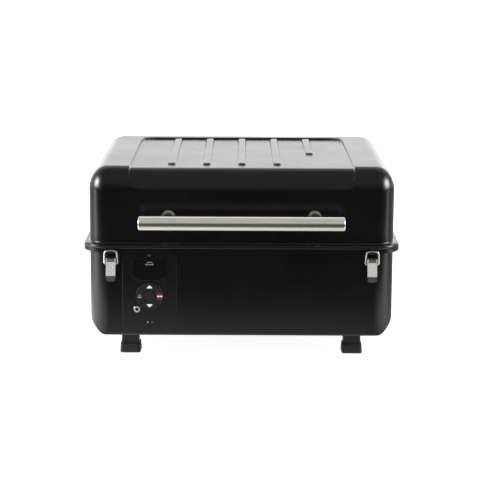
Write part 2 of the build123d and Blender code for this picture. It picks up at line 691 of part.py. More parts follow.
with BuildPart() as auger_tube:
    with BuildSketch(across(TUBE_X[0], Y_C)):
        with Locations((0, AUGER_Z)):
            Circle(TUBE_R)
            Circle(TUBE_R - TUBE_WALL, mode=Mode.SUBTRACT)
    extrude(amount=TUBE_X[1] - TUBE_X[0])
    # end plate that carries the motor, with the shaft bearing in it
    with BuildSketch(across(TUBE_X[0] - END_PLATE, Y_C)):
        with Locations((0, AUGER_Z)):
            Rectangle(50, 50)
            Circle(SHAFT_R + 0.05, mode=Mode.SUBTRACT)
    extrude(amount=END_PLATE)
    # mounting collar against the firebox wall
    with BuildSketch(across(PAN_X[0] - 2.5, Y_C)):
        with Locations((0, AUGER_Z)):
            Circle(TUBE_R + 3.5)
            Circle(TUBE_R - TUBE_WALL, mode=Mode.SUBTRACT)
    extrude(amount=2.5)
    # feed mouth under the hopper throat
    with BuildSketch(Plane.XY.offset(AUGER_Z)):
        with Locations((throat_mid, Y_C)):
            Rectangle(throat_w - 8, 26)
    extrude(amount=TUBE_R + 2, mode=Mode.SUBTRACT)
write(auger_tube.part, "auger_tube")

with BuildPart() as auger:
    with BuildSketch(across(TUBE_X[0] - END_PLATE - 2, Y_C, AUGER_Z)):
        Circle(SHAFT_R)
    extrude(amount=TUBE_X[1] - TUBE_X[0] + END_PLATE)
    with BuildLine() as flight_path:
        Helix(
            FLIGHT_PITCH, FLIGHT_PITCH * FLIGHT_TURNS, (FLIGHT_R + SHAFT_R) / 2,
            center=(TUBE_X[0] + 4, Y_C, AUGER_Z), direction=(1, 0, 0),
        )
    start = flight_path.line @ 0
    outward = Vector(0, start.Y - Y_C, start.Z - AUGER_Z)
    with BuildSketch(Plane(origin=start, x_dir=outward, z_dir=flight_path.line % 0)):
        Rectangle(FLIGHT_R - SHAFT_R + 1, 2.4)
    sweep(path=flight_path.line, is_frenet=True)
write(auger.part, "auger")

MOTOR_Z = (63.0, 108.0)
with BuildPart() as auger_motor:
    with BuildSketch(across(TUBE_X[0] - END_PLATE, Y_C)):
        with Locations((0, sum(MOTOR_Z) / 2)):
            RectangleRounded(48, MOTOR_Z[1] - MOTOR_Z[0], 4)
    extrude(amount=-18)
    with BuildSketch(across(TUBE_X[0] - END_PLATE - 18, Y_C)):
        with Locations((0, sum(MOTOR_Z) / 2)):
            RectangleRounded(38, 34, 2)
    extrude(amount=-19)
    with BuildSketch(across(TUBE_X[0] - END_PLATE, Y_C)):
        with Locations((0, AUGER_Z)):
            Circle(SHAFT_R + 0.05)
    extrude(amount=-6, mode=Mode.SUBTRACT)
write(auger_motor.part, "auger_motor")

# ---------------------------------------------------------------- combustion fan
FAN_HUB_R = 9.0
FAN_SHAFT_R = 1.5
fan_depth = FAN_X[1] - FAN_X[0]

with BuildPart() as fan_housing:
    with BuildSketch(across(FAN_X[0], Y_C + FAN_DY, FAN_Z)):
        RectangleRounded(FAN_SIZE, FAN_SIZE, 4)
        Circle(FAN_SIZE / 2 - 2.5, mode=Mode.SUBTRACT)
        with GridLocations(FAN_SIZE - 9, FAN_SIZE - 9, 2, 2):
            Circle(1.8, mode=Mode.SUBTRACT)
    extrude(amount=fan_depth)
    with BuildSketch(across(FAN_X[0], Y_C + FAN_DY, FAN_Z)):
        Circle(FAN_HUB_R)
        for turn in (0, 120, 240):
            with PolarLocations(FAN_SIZE / 4, 1, turn):
                Rectangle(FAN_SIZE / 2 - 4, 3)
        Circle(FAN_SHAFT_R + 0.05, mode=Mode.SUBTRACT)
    extrude(amount=3)
write(fan_housing.part, "fan_housing")

with BuildPart() as fan_impeller:
    with BuildSketch(across(FAN_X[0] + 4, Y_C + FAN_DY, FAN_Z)):
        Circle(FAN_HUB_R)
        with PolarLocations((FAN_HUB_R + FAN_SIZE / 2 - 4) / 2 - 2, 9):
            Rectangle(FAN_SIZE / 2 - 3 - FAN_HUB_R, 1.4, rotation=28)
    extrude(amount=fan_depth - 6)
    with BuildSketch(across(FAN_X[0], Y_C + FAN_DY, FAN_Z)):
        Circle(FAN_SHAFT_R)
    extrude(amount=5)
write(fan_impeller.part, "fan_impeller")

# ---------------------------------------------------------------- lid
RECESS = 4.0
RECESS_X = 190.0
RECESS_BACK = Y_C + 153.0
RECESS_LOW = 287.0
RECESS_LOW_R = 28.0
RECESS_BACK_R = 28.0
RIB_XS = (-120.0, -60.0, 0.0, 60.0, 120.0)
RIB_W = 15.0
RIB_RISE = 2.0
RIB_FRONT = (62.0, 62.0, 62.0, 62.0, 186.0)  # front wall to the front end of each rib
LID_RIM_Z = SEAM_Z + GAP
EXHAUST_Z = 232.0
POST_X = 123.0
HANDLE_Z = 247.0


def lid_form(inset, low):
    """Rounded box form of the lid, drawn in by inset, from low upward."""
    with BuildPart() as form:
        with BuildSketch(Plane.XY.offset(low)):
            with Locations((0, Y_C)):
                RectangleRounded(BODY_W - 2 * inset, BODY_D - 2 * inset, CORNER_R - inset)
        extrude(amount=LID_TOP - inset - low)
        fillet(form.edges().group_by(Axis.Z)[-1], LID_EDGE_R - inset)
    return form.part


def recess_region(grow):
    """Space seen through the recess outline, from the top and from the front."""
    with BuildPart() as region:
        with BuildSketch(Plane.XY.offset(RECESS_LOW - grow)):
            with BuildLine():
                w = RECESS_X + grow
                Polyline(
                    (-w, FRONT - 5), (w, FRONT - 5), (w, RECESS_BACK + grow), (-w, RECESS_BACK + grow),
                    close=True,
                )
            make_face()
        extrude(amount=LID_TOP + 5 - RECESS_LOW)
        back_edges = region.edges().filter_by(Axis.Z).group_by(Axis.Y)[-1]
        fillet(back_edges, RECESS_BACK_R)
        low_edges = region.edges().filter_by(Axis.Y).group_by(Axis.Z)[0]
        fillet(low_edges, RECESS_LOW_R)
    return region.part


def rib(x, front_gap):
    """Envelope of one rib, rounded at both ends, as tall as the lid."""
    start = FRONT + front_gap
    with BuildPart() as bar:
        with BuildSketch(Plane.XY.offset(RECESS_LOW)):
            with Locations((x, (start + RECESS_BACK + 2) / 2)):
                SlotOverall(RECESS_BACK + 2 - start, RIB_W, rotation=90)
        extrude(amount=LID_TOP - RECESS_LOW)
    return bar.part


recess_cutter = (recess_region(0) - lid_form(RECESS, SEAM_Z))
rib_bars = [rib(x, gap) for x, gap in zip(RIB_XS, RIB_FRONT)]
rib_band = lid_form(RECESS - RIB_RISE, SEAM_Z)
lid_room = lid_form(SHEET, SEAM_Z - 2) - (recess_region(SHEET) - lid_form(RECESS + SHEET, SEAM_Z))
lid_rim = rim_ring(LID_RIM_Z, RIM_H, RIM, -SHEET)
lid_rim_hollow = rim_ring(LID_RIM_Z - 1, RIM_H + 1 - SHEET, RIM - SHEET, 0)
lid_outer = lid_form(0, LID_RIM_Z)

with BuildPart() as lid_shell:
    add(lid_outer)
    add(recess_cutter, mode=Mode.SUBTRACT)
    for bar in rib_bars:
        add(bar & rib_band)
    add(lid_rim)
    add(lid_rim_hollow, mode=Mode.SUBTRACT)
    add(lid_room, mode=Mode.SUBTRACT)
    # exhaust slots and hinge rivet holes in the back wall
    with BuildSketch(FACE_B.offset(1)):
        with Locations((0, EXHAUST_Z)):
            with GridLocations(9.5, 0, 20, 1):
                SlotOverall(16, VENT[0], rotation=90)
        with Locations([(x, z) for x in hinge_rivet_xs for z in LID_RIVET_Z]):
            Circle(RIVET_R)
    extrude(amount=-(SHEET + 2), mode=Mode.SUBTRACT)
    # handle screw holes in the front wall
    with BuildSketch(FACE_F.offset(1)):
        with Locations((-POST_X, HANDLE_Z), (POST_X, HANDLE_Z)):
            Circle(SCREW_R)
    extrude(amount=-(SHEET + 2), mode=Mode.SUBTRACT)
write(lid_shell.part, "lid_shell")

lid_gasket = rim_ring(SEAM_Z + 0.15, RIM_H - SHEET + 0.15, RIM - SHEET - 1.5, 1.0)
write(lid_gasket, "lid_gasket")

HOOD = (250.0, 34.0, 13.0)  # width, height and reach of the exhaust hood
with BuildPart() as exhaust_hood:
    with BuildSketch(side_back(-HOOD[0] / 2)):
        with BuildLine():
            high, low = EXHAUST_Z + HOOD[1] / 2, EXHAUST_Z - HOOD[1] / 2
            Polyline(
                (0, high + 8), (SHEET, high + 8), (SHEET, high), (HOOD[2], high - 6), (HOOD[2], low),
                (HOOD[2] - SHEET, low), (HOOD[2] - SHEET, high - 7), (0, high - 1), close=True,
            )
        make_face()
    extrude(amount=HOOD[0])
    for side in (-1, 1):
        with BuildSketch(side_back(side * (HOOD[0] - SHEET) / 2)):
            with BuildLine():
                Polyline((0, high - 1), (HOOD[2] - 1, high - 6.5), (HOOD[2] - 1, low), (0, low), close=True)
            make_face()
        extrude(amount=SHEET / 2, both=True)
write(exhaust_hood.part, "exhaust_hood")

# ---------------------------------------------------------------- lid handle
HANDLE_HALF = 170.0
HANDLE_WALL = 1.5
CAP = 5.0
POST_R = 9.5

with BuildPart() as handle_tube:
    with BuildSketch(across(0, FRONT - HANDLE_REACH, HANDLE_Z)):
        Circle(HANDLE_R)
        Circle(HANDLE_R - HANDLE_WALL, mode=Mode.SUBTRACT)
    extrude(amount=HANDLE_HALF - CAP, both=True)
write(handle_tube.part, "handle_tube")


def handle_cap(side):
    """Domed end cap with a spigot inside the tube."""
    with BuildPart() as cap:
        with BuildSketch(across(side * (HANDLE_HALF - CAP), FRONT - HANDLE_REACH, HANDLE_Z)):
            Circle(HANDLE_R)
        extrude(amount=side * CAP)
        fillet(cap.edges().group_by(Axis.X)[-1 if side > 0 else 0], 2)
        with BuildSketch(across(side * (HANDLE_HALF - CAP), FRONT - HANDLE_REACH, HANDLE_Z)):
            Circle(HANDLE_R - HANDLE_WALL)
        extrude(amount=-side * 8)
    return cap.part


def handle_post(x):
    """Stand-off between the lid and the tube, saddle-cut where the tube sits in it."""
    with BuildPart() as post:
        with BuildSketch(FACE_F):
            with Locations((x, HANDLE_Z)):
                Circle(POST_R)
        extrude(amount=HANDLE_REACH)
        with BuildSketch(FACE_F):
            with Locations((x, HANDLE_Z)):
                Circle(POST_R + 2.5)
        extrude(amount=2.5)
        with BuildSketch(across(x, FRONT - HANDLE_REACH, HANDLE_Z)):
            Circle(HANDLE_R)
        extrude(amount=POST_R + 5, both=True, mode=Mode.SUBTRACT)
        with BuildSketch(FACE_F):
            with Locations((x, HANDLE_Z)):
                Circle(SCREW_R)
        extrude(amount=16, mode=Mode.SUBTRACT)
    return post.part


def handle_screw(x):
    """Screw from inside the lid into a handle post."""
    with BuildPart() as screw:
        with BuildSketch(FACE_F.offset(-SHEET)):
            with Locations((x, HANDLE_Z)):
                Circle(SCREW_R)
        extrude(amount=SHEET + 14)
        with BuildSketch(FACE_F.offset(-SHEET)):
            with Locations((x, HANDLE_Z)):
                Circle(5.5)
        extrude(amount=-3)
    return screw.part


write(Compound(children=[handle_cap(-1), handle_cap(1)]), "handle_caps")
write(handle_post(-POST_X), "handle_post_left")
write(handle_post(POST_X), "handle_post_right")
write(Compound(children=[handle_screw(-POST_X), handle_screw(POST_X)]), "handle_screws")

# ---------------------------------------------------------------- hinges
PIN_R = 2.5
LEAF = 2.0
KNUCKLE_HALF = 8.6  # middle knuckle, on the lid
BODY_KNUCKLE = (9.0, 25.0)
BODY_LEAF_Z = (144.0, 183.0)
LID_LEAF_Z = (202.5, 238.0)


def leaf_plate(x, low, high, run_low):
    """Flat of a hinge leaf on the back wall with its foot that reaches out to the knuckles."""
    with BuildPart() as leaf:
        with BuildSketch(FACE_B):
            with Locations((-x, (low + high) / 2)):
                RectangleRounded(HINGE_W, high - low, 2)
            rivet_zs = BODY_RIVET_Z if low < SEAM_Z else LID_RIVET_Z
            with Locations([(-x + s * HINGE_RIVET_DX, z) for s in (-1, 1) for z in rivet_zs]):
                Circle(RIVET_R, mode=Mode.SUBTRACT)
        extrude(amount=LEAF)
        with BuildSketch(side_back(x - HINGE_W / 2)):
            with Locations(((HINGE_OUT + LEAF / 2) / 2, run_low + LEAF / 2)):
                Rectangle(HINGE_OUT + LEAF / 2, LEAF)
        extrude(amount=HINGE_W)
    return leaf.part


def knuckle(x, half, reach_z, bore):
    """One knuckle around the hinge axis, with the web that joins it to its leaf."""
    low, high = sorted((HINGE_Z, reach_z))
    with BuildPart() as barrel:
        with BuildSketch(side_back(x)):
            with Locations((HINGE_OUT, (low + high) / 2)):
                Rectangle(LEAF, high - low)
            with Locations((HINGE_OUT, HINGE_Z)):
                Circle(KNUCKLE_R)
                Circle(bore, mode=Mode.SUBTRACT)
        extrude(amount=half, both=True)
    return barrel.part


def hinge(x, name):
    """Body leaf, lid leaf and pin of one hinge."""
    body_leaf = leaf_plate(x, *BODY_LEAF_Z, BODY_LEAF_Z[1] - LEAF)
    half = (BODY_KNUCKLE[1] - BODY_KNUCKLE[0]) / 2
    for side in (-1, 1):
        body_leaf += knuckle(x + side * sum(BODY_KNUCKLE) / 2, half, BODY_LEAF_Z[1] - 1, PIN_R)
    write(body_leaf, f"{name}_hinge_body_leaf")
    lid_leaf = leaf_plate(x, *LID_LEAF_Z, LID_LEAF_Z[0])
    lid_leaf += knuckle(x, KNUCKLE_HALF, LID_LEAF_Z[0] + 1, PIN_R + 0.06)
    write(lid_leaf, f"{name}_hinge_lid_leaf")
    with BuildPart() as pin:
        with BuildSketch(side_back(x)):
            with Locations((HINGE_OUT, HINGE_Z)):
                Circle(PIN_R)
        extrude(amount=BODY_KNUCKLE[1] + 2, both=True)
        for side in (-1, 1):
            with BuildSketch(side_back(x + side * BODY_KNUCKLE[1])):
                with Locations((HINGE_OUT, HINGE_Z)):
                    Circle(PIN_R + 1.5)
            extrude(amount=side * 2)
    write(pin.part, f"{name}_hinge_pin")


hinge(-HINGE_X, "left")
hinge(HINGE_X, "right")

# ---------------------------------------------------------------- draw latches
# In each latch, n is the distance out of the front wall.
LEVER_PIVOT = (9.5, 175.7)  # n and z
BAIL_PIVOT = (6.5, 168.5)
BAIL_BAR = (13.6, 191.2)
WIRE_R = 1.4
BAIL_TOP_HALF = 10.0
BAIL_LOW_HALF = 11.6
LEVER_HALF = 8.0
FLANGE = (6.8, 8.0)  # lever flanges, distance from the latch's middle
EAR = (5.0, 6.2)
EAR_R = 3.6
LATCH_PIN_R = 1.5
BARREL_R = 3.3
LEVER_TOP = (12.5, 172.4)
LEVER_BEND = (17.5, 148.8)
LEVER_TAIL = (17.0, 139.4)


def latch_base(x):
    """Back plate with two ears and the pivot barrel between them."""
    with BuildPart() as base:
        with BuildSketch(FACE_F):
            with Locations((x, 160)):
                RectangleRounded(14, 38, 2)
            with Locations([(x, z) for z in LATCH_RIVET_Z]):
                Circle(RIVET_R, mode=Mode.SUBTRACT)
        extrude(amount=THIN)
        for side in (-1, 1):
            with BuildSketch(side_front(x + side * sum(EAR) / 2)):
                with BuildLine():
                    n, z = LEVER_PIVOT
                    Polyline((0, 165), (n + 1, z - EAR_R), (n + 1, z + EAR_R), (0, 178.5), close=True)
                make_face()
                with Locations(LEVER_PIVOT):
                    Circle(EAR_R)
            extrude(amount=(EAR[1] - EAR[0]) / 2, both=True)
        with BuildSketch(side_front(x)):
            with Locations(LEVER_PIVOT):
                Circle(BARREL_R)
        extrude(amount=EAR[0], both=True)
        with BuildSketch(side_front(x)):
            with Locations(LEVER_PIVOT):
                Circle(LATCH_PIN_R)
        extrude(amount=FLANGE[1] + 1.6, both=True)
    return base.part


def lever_strip(start, end, thickness):
    """Corners of a flat strip that runs from start to end, with its outer face on that line."""
    dn, dz = end[0] - start[0], end[1] - start[1]
    length = (dn * dn + dz * dz) ** 0.5
    back = (dz / length * thickness, -dn / length * thickness)
    return [start, end, (end[0] + back[0], end[1] + back[1]), (start[0] + back[0], start[1] + back[1])]


def latch_lever(x):
    """Folded lever: front plate, tail and two side flanges with the pivot holes."""
    with BuildPart() as lever:
        with BuildSketch(side_front(x)):
            with BuildLine():
                Polyline(*lever_strip(LEVER_TOP, LEVER_BEND, THIN), close=True)
            make_face()
            with BuildLine():
                Polyline(*lever_strip(LEVER_BEND, LEVER_TAIL, THIN), close=True)
            make_face()
        extrude(amount=LEVER_HALF, both=True)
        corner_edges = lever.edges().filter_by(Axis.Y, tolerance=30).group_by(Axis.Z)[0]
        fillet(corner_edges, 5)
        for side in (-1, 1):
            with BuildSketch(side_front(x + side * sum(FLANGE) / 2)):
                with BuildLine():
                    Polyline(
                        (LEVER_TOP[0] - 0.3, LEVER_TOP[1]), (LEVER_BEND[0] - 0.3, LEVER_BEND[1] + 3),
                        (LEVER_BEND[0] - 4, LEVER_BEND[1] + 5),
                        (BAIL_PIVOT[0] - 1, BAIL_PIVOT[1] - 3.2), (BAIL_PIVOT[0] - 2.6, BAIL_PIVOT[1]),
                        (LEVER_PIVOT[0] - 2.6, LEVER_PIVOT[1] + 2), (LEVER_PIVOT[0], LEVER_PIVOT[1] + 3),
                        close=True,
                    )
                make_face()
                with Locations(LEVER_PIVOT):
                    Circle(3.2)
                with Locations(LEVER_PIVOT):
                    Circle(LATCH_PIN_R + 0.06, mode=Mode.SUBTRACT)
                with Locations(BAIL_PIVOT):
                    Circle(WIRE_R + 0.06, mode=Mode.SUBTRACT)
            extrude(amount=(FLANGE[1] - FLANGE[0]) / 2, both=True)
    return lever.part


def latch_bail(x):
    """Wire loop: two legs, a bar across the top, and ends turned in to the lever's flanges."""
    lean = Plane(
        origin=(x, FRONT - BAIL_PIVOT[0], BAIL_PIVOT[1]), x_dir=(1, 0, 0),
        z_dir=(0, -(BAIL_BAR[1] - BAIL_PIVOT[1]), -(BAIL_BAR[0] - BAIL_PIVOT[0])),
    )
    rise = ((BAIL_BAR[1] - BAIL_PIVOT[1]) ** 2 + (BAIL_BAR[0] - BAIL_PIVOT[0]) ** 2) ** 0.5
    with BuildPart() as bail:
        with BuildLine(lean) as wire:
            path = Polyline(
                (-EAR[1] - 0.4, 0), (-BAIL_LOW_HALF, 0), (-BAIL_TOP_HALF, rise), (BAIL_TOP_HALF, rise),
                (BAIL_LOW_HALF, 0), (EAR[1] + 0.4, 0),
            )
            fillet(wire.vertices().filter_by(lambda v: v.Z < BAIL_PIVOT[1] + 1 and abs(v.X - x) > 8), 2.4)
            fillet(wire.vertices().filter_by(lambda v: v.Z > BAIL_BAR[1] - 1), 4.5)
        with BuildSketch(Plane(origin=wire.wires()[0] @ 0, z_dir=wire.wires()[0] % 0)):
            Circle(WIRE_R)
        sweep(path=wire.wires()[0])
    return bail.part


KEEPER_HALF = 4.7
KEEPER_STEEL = 1.5


def latch_keeper(x):
    """Hook on the lid's rim: strap, cup under the bail's bar and upturned lip."""
    with BuildPart() as keeper:
        with BuildSketch(side_front(x)):
            with Locations((10.4, 196.6)):
                Rectangle(0.8, 4.2)
            with Locations((11.05, 193.0)):
                Rectangle(KEEPER_STEEL, 11.4)
            with Locations((14.3, 188.6)):
                Rectangle(8.0, KEEPER_STEEL)
            with Locations((17.65, 189.5)):
                Rectangle(1.3, 3.3)
        extrude(amount=KEEPER_HALF, both=True)
    return keeper.part


for latch_x, name in ((-LATCH_X, "left"), (LATCH_X, "right")):
    write(latch_base(latch_x), f"{name}_latch_base")
    write(latch_lever(latch_x), f"{name}_latch_lever")
    write(latch_bail(latch_x), f"{name}_latch_bail")
    write(latch_keeper(latch_x), f"{name}_latch_keeper")


def rivet(plane, x, z, seat, grip):
    """Domed rivet through grip millimetres of sheet, with its head at seat from the wall."""
    with BuildPart() as body:
        with BuildSketch(plane.offset(seat)):
            with Locations((x, z)):
                Circle(RIVET_R + 1.4)
        extrude(amount=1.3)
        head_face = body.faces().sort_by(Axis(origin=(0, 0, 0), direction=plane.z_dir))[-1]
        fillet(head_face.edges(), 0.9)
        with BuildSketch(plane.offset(seat)):
            with Locations((x, z)):
                Circle(RIVET_R)
        extrude(amount=-grip)
        with BuildSketch(plane.offset(seat - grip)):
            with Locations((x, z)):
                Circle(RIVET_R + 0.8)
        extrude(amount=-1.0)
    return body.part


latch_rivets = [
    rivet(FACE_F, x, z, THIN, THIN + SHEET) for x in (-LATCH_X, LATCH_X) for z in LATCH_RIVET_Z
]
body_hinge_rivets = [rivet(FACE_B, x, z, LEAF, LEAF + SHEET) for x in hinge_rivet_xs for z in BODY_RIVET_Z]
lid_hinge_rivets = [rivet(FACE_B, x, z, LEAF, LEAF + SHEET) for x in hinge_rivet_xs for z in LID_RIVET_Z]
write(Compound(children=latch_rivets + body_hinge_rivets), "body_rivets")
write(Compound(children=lid_hinge_rivets), "lid_rivets")

# ---------------------------------------------------------------- control panel
PANEL_FACE = 1.4  # panel face out of the wall
PANEL_BACK = -2.0
TRAY_DEPTH = 10.0
WHEEL = (PANEL_X, 110.8)
WELL_R = 24.0
KEY_R = (11.0, 23.5)
CENTRE_KEY_R = 10.2
KEY_SPLIT = 0.9  # groove between the keys
KEY_FACE = 2.6
KEY_BACK = -6.0
KEY_TRAVEL = 1.2
JACK = (-177.1, 88.2)
JACK_R = 4.6
JACK_BORE_R = 1.8
BOARD_OUT = -14.0
BOARD_SIZE = (80.0, 118.0)
BOARD_Z = 119.0
DISPLAY = [(-185, 174), (-126, 174), (-124, 146), (-139, 138), (-171, 138), (-186.5, 146)]
panel_mid_z = sum(PANEL_Z) / 2
panel_h = PANEL_Z[1] - PANEL_Z[0]
board_post_points = [
    (PANEL_X + sx * (BOARD_SIZE[0] / 2 - 5), BOARD_Z + sz * (BOARD_SIZE[1] / 2 - 5))
    for sx in (-1, 1)
    for sz in (-1, 1)
]

with BuildPart() as control_panel:
    # face plate that covers the opening
    with BuildSketch(FACE_F):
        with Locations((PANEL_X, panel_mid_z)):
            RectangleRounded(PANEL_W, panel_h, 6)
    extrude(amount=PANEL_FACE)
    fillet(control_panel.faces().sort_by(Axis.Y)[0].edges(), 0.8)
    # tray inside the opening
    with BuildSketch(FACE_F):
        with Locations((PANEL_X, panel_mid_z)):
            RectangleRounded(PANEL_W - 2 * PANEL_LIP - 0.6, panel_h - 2 * PANEL_LIP - 0.6, 1)
    extrude(amount=-TRAY_DEPTH)
    with BuildSketch(FACE_F.offset(PANEL_BACK)):
        with Locations((PANEL_X, panel_mid_z)):
            Rectangle(PANEL_W - 2 * PANEL_LIP - 4.6, panel_h - 2 * PANEL_LIP - 4.6)
    extrude(amount=-TRAY_DEPTH, mode=Mode.SUBTRACT)
    # collar round the keys and posts for the board
    with BuildSketch(FACE_F.offset(PANEL_BACK)):
        with Locations(WHEEL):
            Circle(WELL_R + 2)
        with Locations(JACK):
            Circle(JACK_R + 0.1, mode=Mode.SUBTRACT)
    extrude(amount=-4)
    with BuildSketch(FACE_F.offset(PANEL_BACK)):
        with Locations(board_post_points):
            Circle(3)
    extrude(amount=BOARD_OUT - PANEL_BACK)
    with BuildSketch(FACE_F.offset(PANEL_FACE)):
        with Locations(WHEEL):
            Circle(WELL_R)
        with Locations(JACK):
            Circle(JACK_R)
    extrude(amount=-TRAY_DEPTH, mode=Mode.SUBTRACT)
    # seat of the display window
    with BuildSketch(FACE_F.offset(PANEL_FACE)) as seat:
        with BuildLine():
            Polyline(*DISPLAY, close=True)
        make_face()
        fillet(seat.vertices(), 3)
    extrude(amount=-PANEL_FACE, mode=Mode.SUBTRACT)
write(control_panel.part, "control_panel")

with BuildPart() as display_window:
    with BuildSketch(FACE_F) as glass:
        with BuildLine():
            Polyline(*DISPLAY, close=True)
        make_face()
        fillet(glass.vertices(), 3)
    extrude(amount=PANEL_FACE + 0.5)
    fillet(display_window.faces().sort_by(Axis.Y)[0].edges(), 0.4)
write(display_window.part, "display_window")


def ring_key(bearing):
    """One quarter of the key ring, around the given bearing in degrees."""
    with BuildPart() as key:
        with BuildSketch(FACE_F.offset(KEY_BACK)):
            with Locations(WHEEL):
                Circle(KEY_R[1])
                Circle(KEY_R[0], mode=Mode.SUBTRACT)
        extrude(amount=KEY_FACE - KEY_BACK)
        with BuildSketch(FACE_F.offset(KEY_BACK)):
            with BuildLine():
                start = KEY_SPLIT * 0.7072
                points = [(start, 0), (start + 40, 40), (start + 40, -40)]
                turn = radians(bearing)
                Polyline(
                    *[
                        (
                            WHEEL[0] + px * cos(turn) - py * sin(turn),
                            WHEEL[1] + px * sin(turn) + py * cos(turn),
                        )
                        for px, py in points
                    ],
                    close=True,
                )
            make_face()
        extrude(amount=KEY_FACE - KEY_BACK, mode=Mode.INTERSECT)
        fillet(key.faces().sort_by(Axis.Y)[0].edges(), 0.6)
    return key.part


for bearing, name in ((0, "right"), (90, "up"), (180, "left"), (270, "down")):
    write(ring_key(bearing), f"key_{name}")

with BuildPart() as key_centre:
    with BuildSketch(FACE_F.offset(KEY_BACK)):
        with Locations(WHEEL):
            Circle(CENTRE_KEY_R)
    extrude(amount=KEY_FACE - KEY_BACK)
    fillet(key_centre.faces().sort_by(Axis.Y)[0].edges(), 0.6)
write(key_centre.part, "key_centre")

with BuildPart() as probe_jack:
    with BuildSketch(FACE_F.offset(PANEL_FACE)):
        with Locations(JACK):
            Circle(JACK_R)
    extrude(amount=-13)
    with BuildSketch(FACE_F.offset(PANEL_FACE)):
        with Locations(JACK):
            Circle(JACK_R + 0.8)
    extrude(amount=1.2)
    fillet(probe_jack.faces().sort_by(Axis.Y)[0].edges(), 0.5)
    with BuildSketch(FACE_F.offset(PANEL_FACE + 1.2)):
        with Locations(JACK):
            Circle(JACK_BORE_R)
    extrude(amount=-12, mode=Mode.SUBTRACT)
write(probe_jack.part, "probe_jack")

switch_points = [WHEEL] + [
    (WHEEL[0] + 17 * cos(radians(b)), WHEEL[1] + 17 * sin(radians(b))) for b in (0, 90, 180, 270)
]
with BuildPart() as control_board:
    with BuildSketch(FACE_F.offset(BOARD_OUT)):
        with Locations((PANEL_X, BOARD_Z)):
            RectangleRounded(*BOARD_SIZE, 2)
    extrude(amount=-1.6)
    # one tact switch behind each key, and the display module
    with BuildSketch(FACE_F.offset(BOARD_OUT)):
        with Locations(switch_points):
            Rectangle(5, 5)
    extrude(amount=KEY_BACK - KEY_TRAVEL - 0.2 - BOARD_OUT)
    with BuildSketch(FACE_F.offset(BOARD_OUT)):
        with Locations((PANEL_X, 158)):
            Rectangle(50, 24)
    extrude(amount=PANEL_BACK - 0.5 - BOARD_OUT)
    # relays, a capacitor and terminal blocks on the back
    with BuildSketch(FACE_F.offset(BOARD_OUT - 1.6)):
        with Locations((PANEL_X, BOARD_Z)):
            with GridLocations(20, 0, 3, 1):
                Rectangle(14, 18)
    extrude(amount=-15)
    with BuildSketch(FACE_F.offset(BOARD_OUT - 1.6)):
        with Locations((PANEL_X + 20, BOARD_Z + 30)):
            Circle(7)
    extrude(amount=-18)
    with BuildSketch(FACE_F.offset(BOARD_OUT - 1.6)):
        with Locations((PANEL_X, BOARD_Z - 48)):
            Rectangle(60, 9)
        with Locations((PANEL_X - 12, BOARD_Z + 48)):
            Rectangle(40, 9)
    extrude(amount=-9)
write(control_board.part, "control_board")

# ---------------------------------------------------------------- power inlet and switch
INLET_Z = POWER_Z - 11.0
SWITCH_Z = POWER_Z + 15.0
BEZEL = (34.0, 58.0, 2.2)
SOCKET = (24.0, 16.6, 16.0)
SWITCH_OPENING = (20.0, 13.0)
ROCKER_R = 9.0
ROCKER_PIVOT_OUT = 0.0
ROCKER_TILT = 16.0
PIN_SIZE = (2.0, 4.0)
pin_points = [(-POWER_X + dx, INLET_Z + dz) for dx, dz in ((-7, -1.5), (7, -1.5), (0, 2.5))]

with BuildPart() as power_inlet:
    with BuildSketch(FACE_B):
        with Locations((-POWER_X, POWER_Z)):
            RectangleRounded(BEZEL[0], BEZEL[1], 3)
    extrude(amount=BEZEL[2])
    fillet(power_inlet.faces().sort_by(Axis.Y)[-1].edges(), 1)
    with BuildSketch(FACE_B):
        with Locations((-POWER_X, POWER_Z)):
            Rectangle(POWER_SIZE[0] - 0.4, POWER_SIZE[1] - 0.4)
    extrude(amount=-24)
    # socket
    with BuildSketch(FACE_B.offset(BEZEL[2])):
        with Locations((-POWER_X, INLET_Z)):
            RectangleRounded(SOCKET[0], SOCKET[1], 3)
    extrude(amount=-SOCKET[2], mode=Mode.SUBTRACT)
    # switch opening
    with BuildSketch(FACE_B.offset(BEZEL[2])):
        with Locations((-POWER_X, SWITCH_Z)):
            Rectangle(*SWITCH_OPENING)
    extrude(amount=-18, mode=Mode.SUBTRACT)
    # sockets for the rocker's stub axles
    with BuildSketch(across(POWER_X, BACK + ROCKER_PIVOT_OUT, SWITCH_Z)):
        Circle(1.06)
    extrude(amount=SWITCH_OPENING[0] / 2 + 1.4, both=True, mode=Mode.SUBTRACT)
    # slots for the contact pins
    with BuildSketch(FACE_B.offset(BEZEL[2] - SOCKET[2])):
        with Locations(pin_points):
            Rectangle(*PIN_SIZE)
    extrude(amount=-6, mode=Mode.SUBTRACT)
write(power_inlet.part, "power_inlet")

with BuildPart() as inlet_contacts:
    with BuildSketch(FACE_B.offset(BEZEL[2] - SOCKET[2] - 6)):
        with Locations(pin_points):
            Rectangle(*PIN_SIZE)
    extrude(amount=19)
write(inlet_contacts.part, "inlet_contacts")

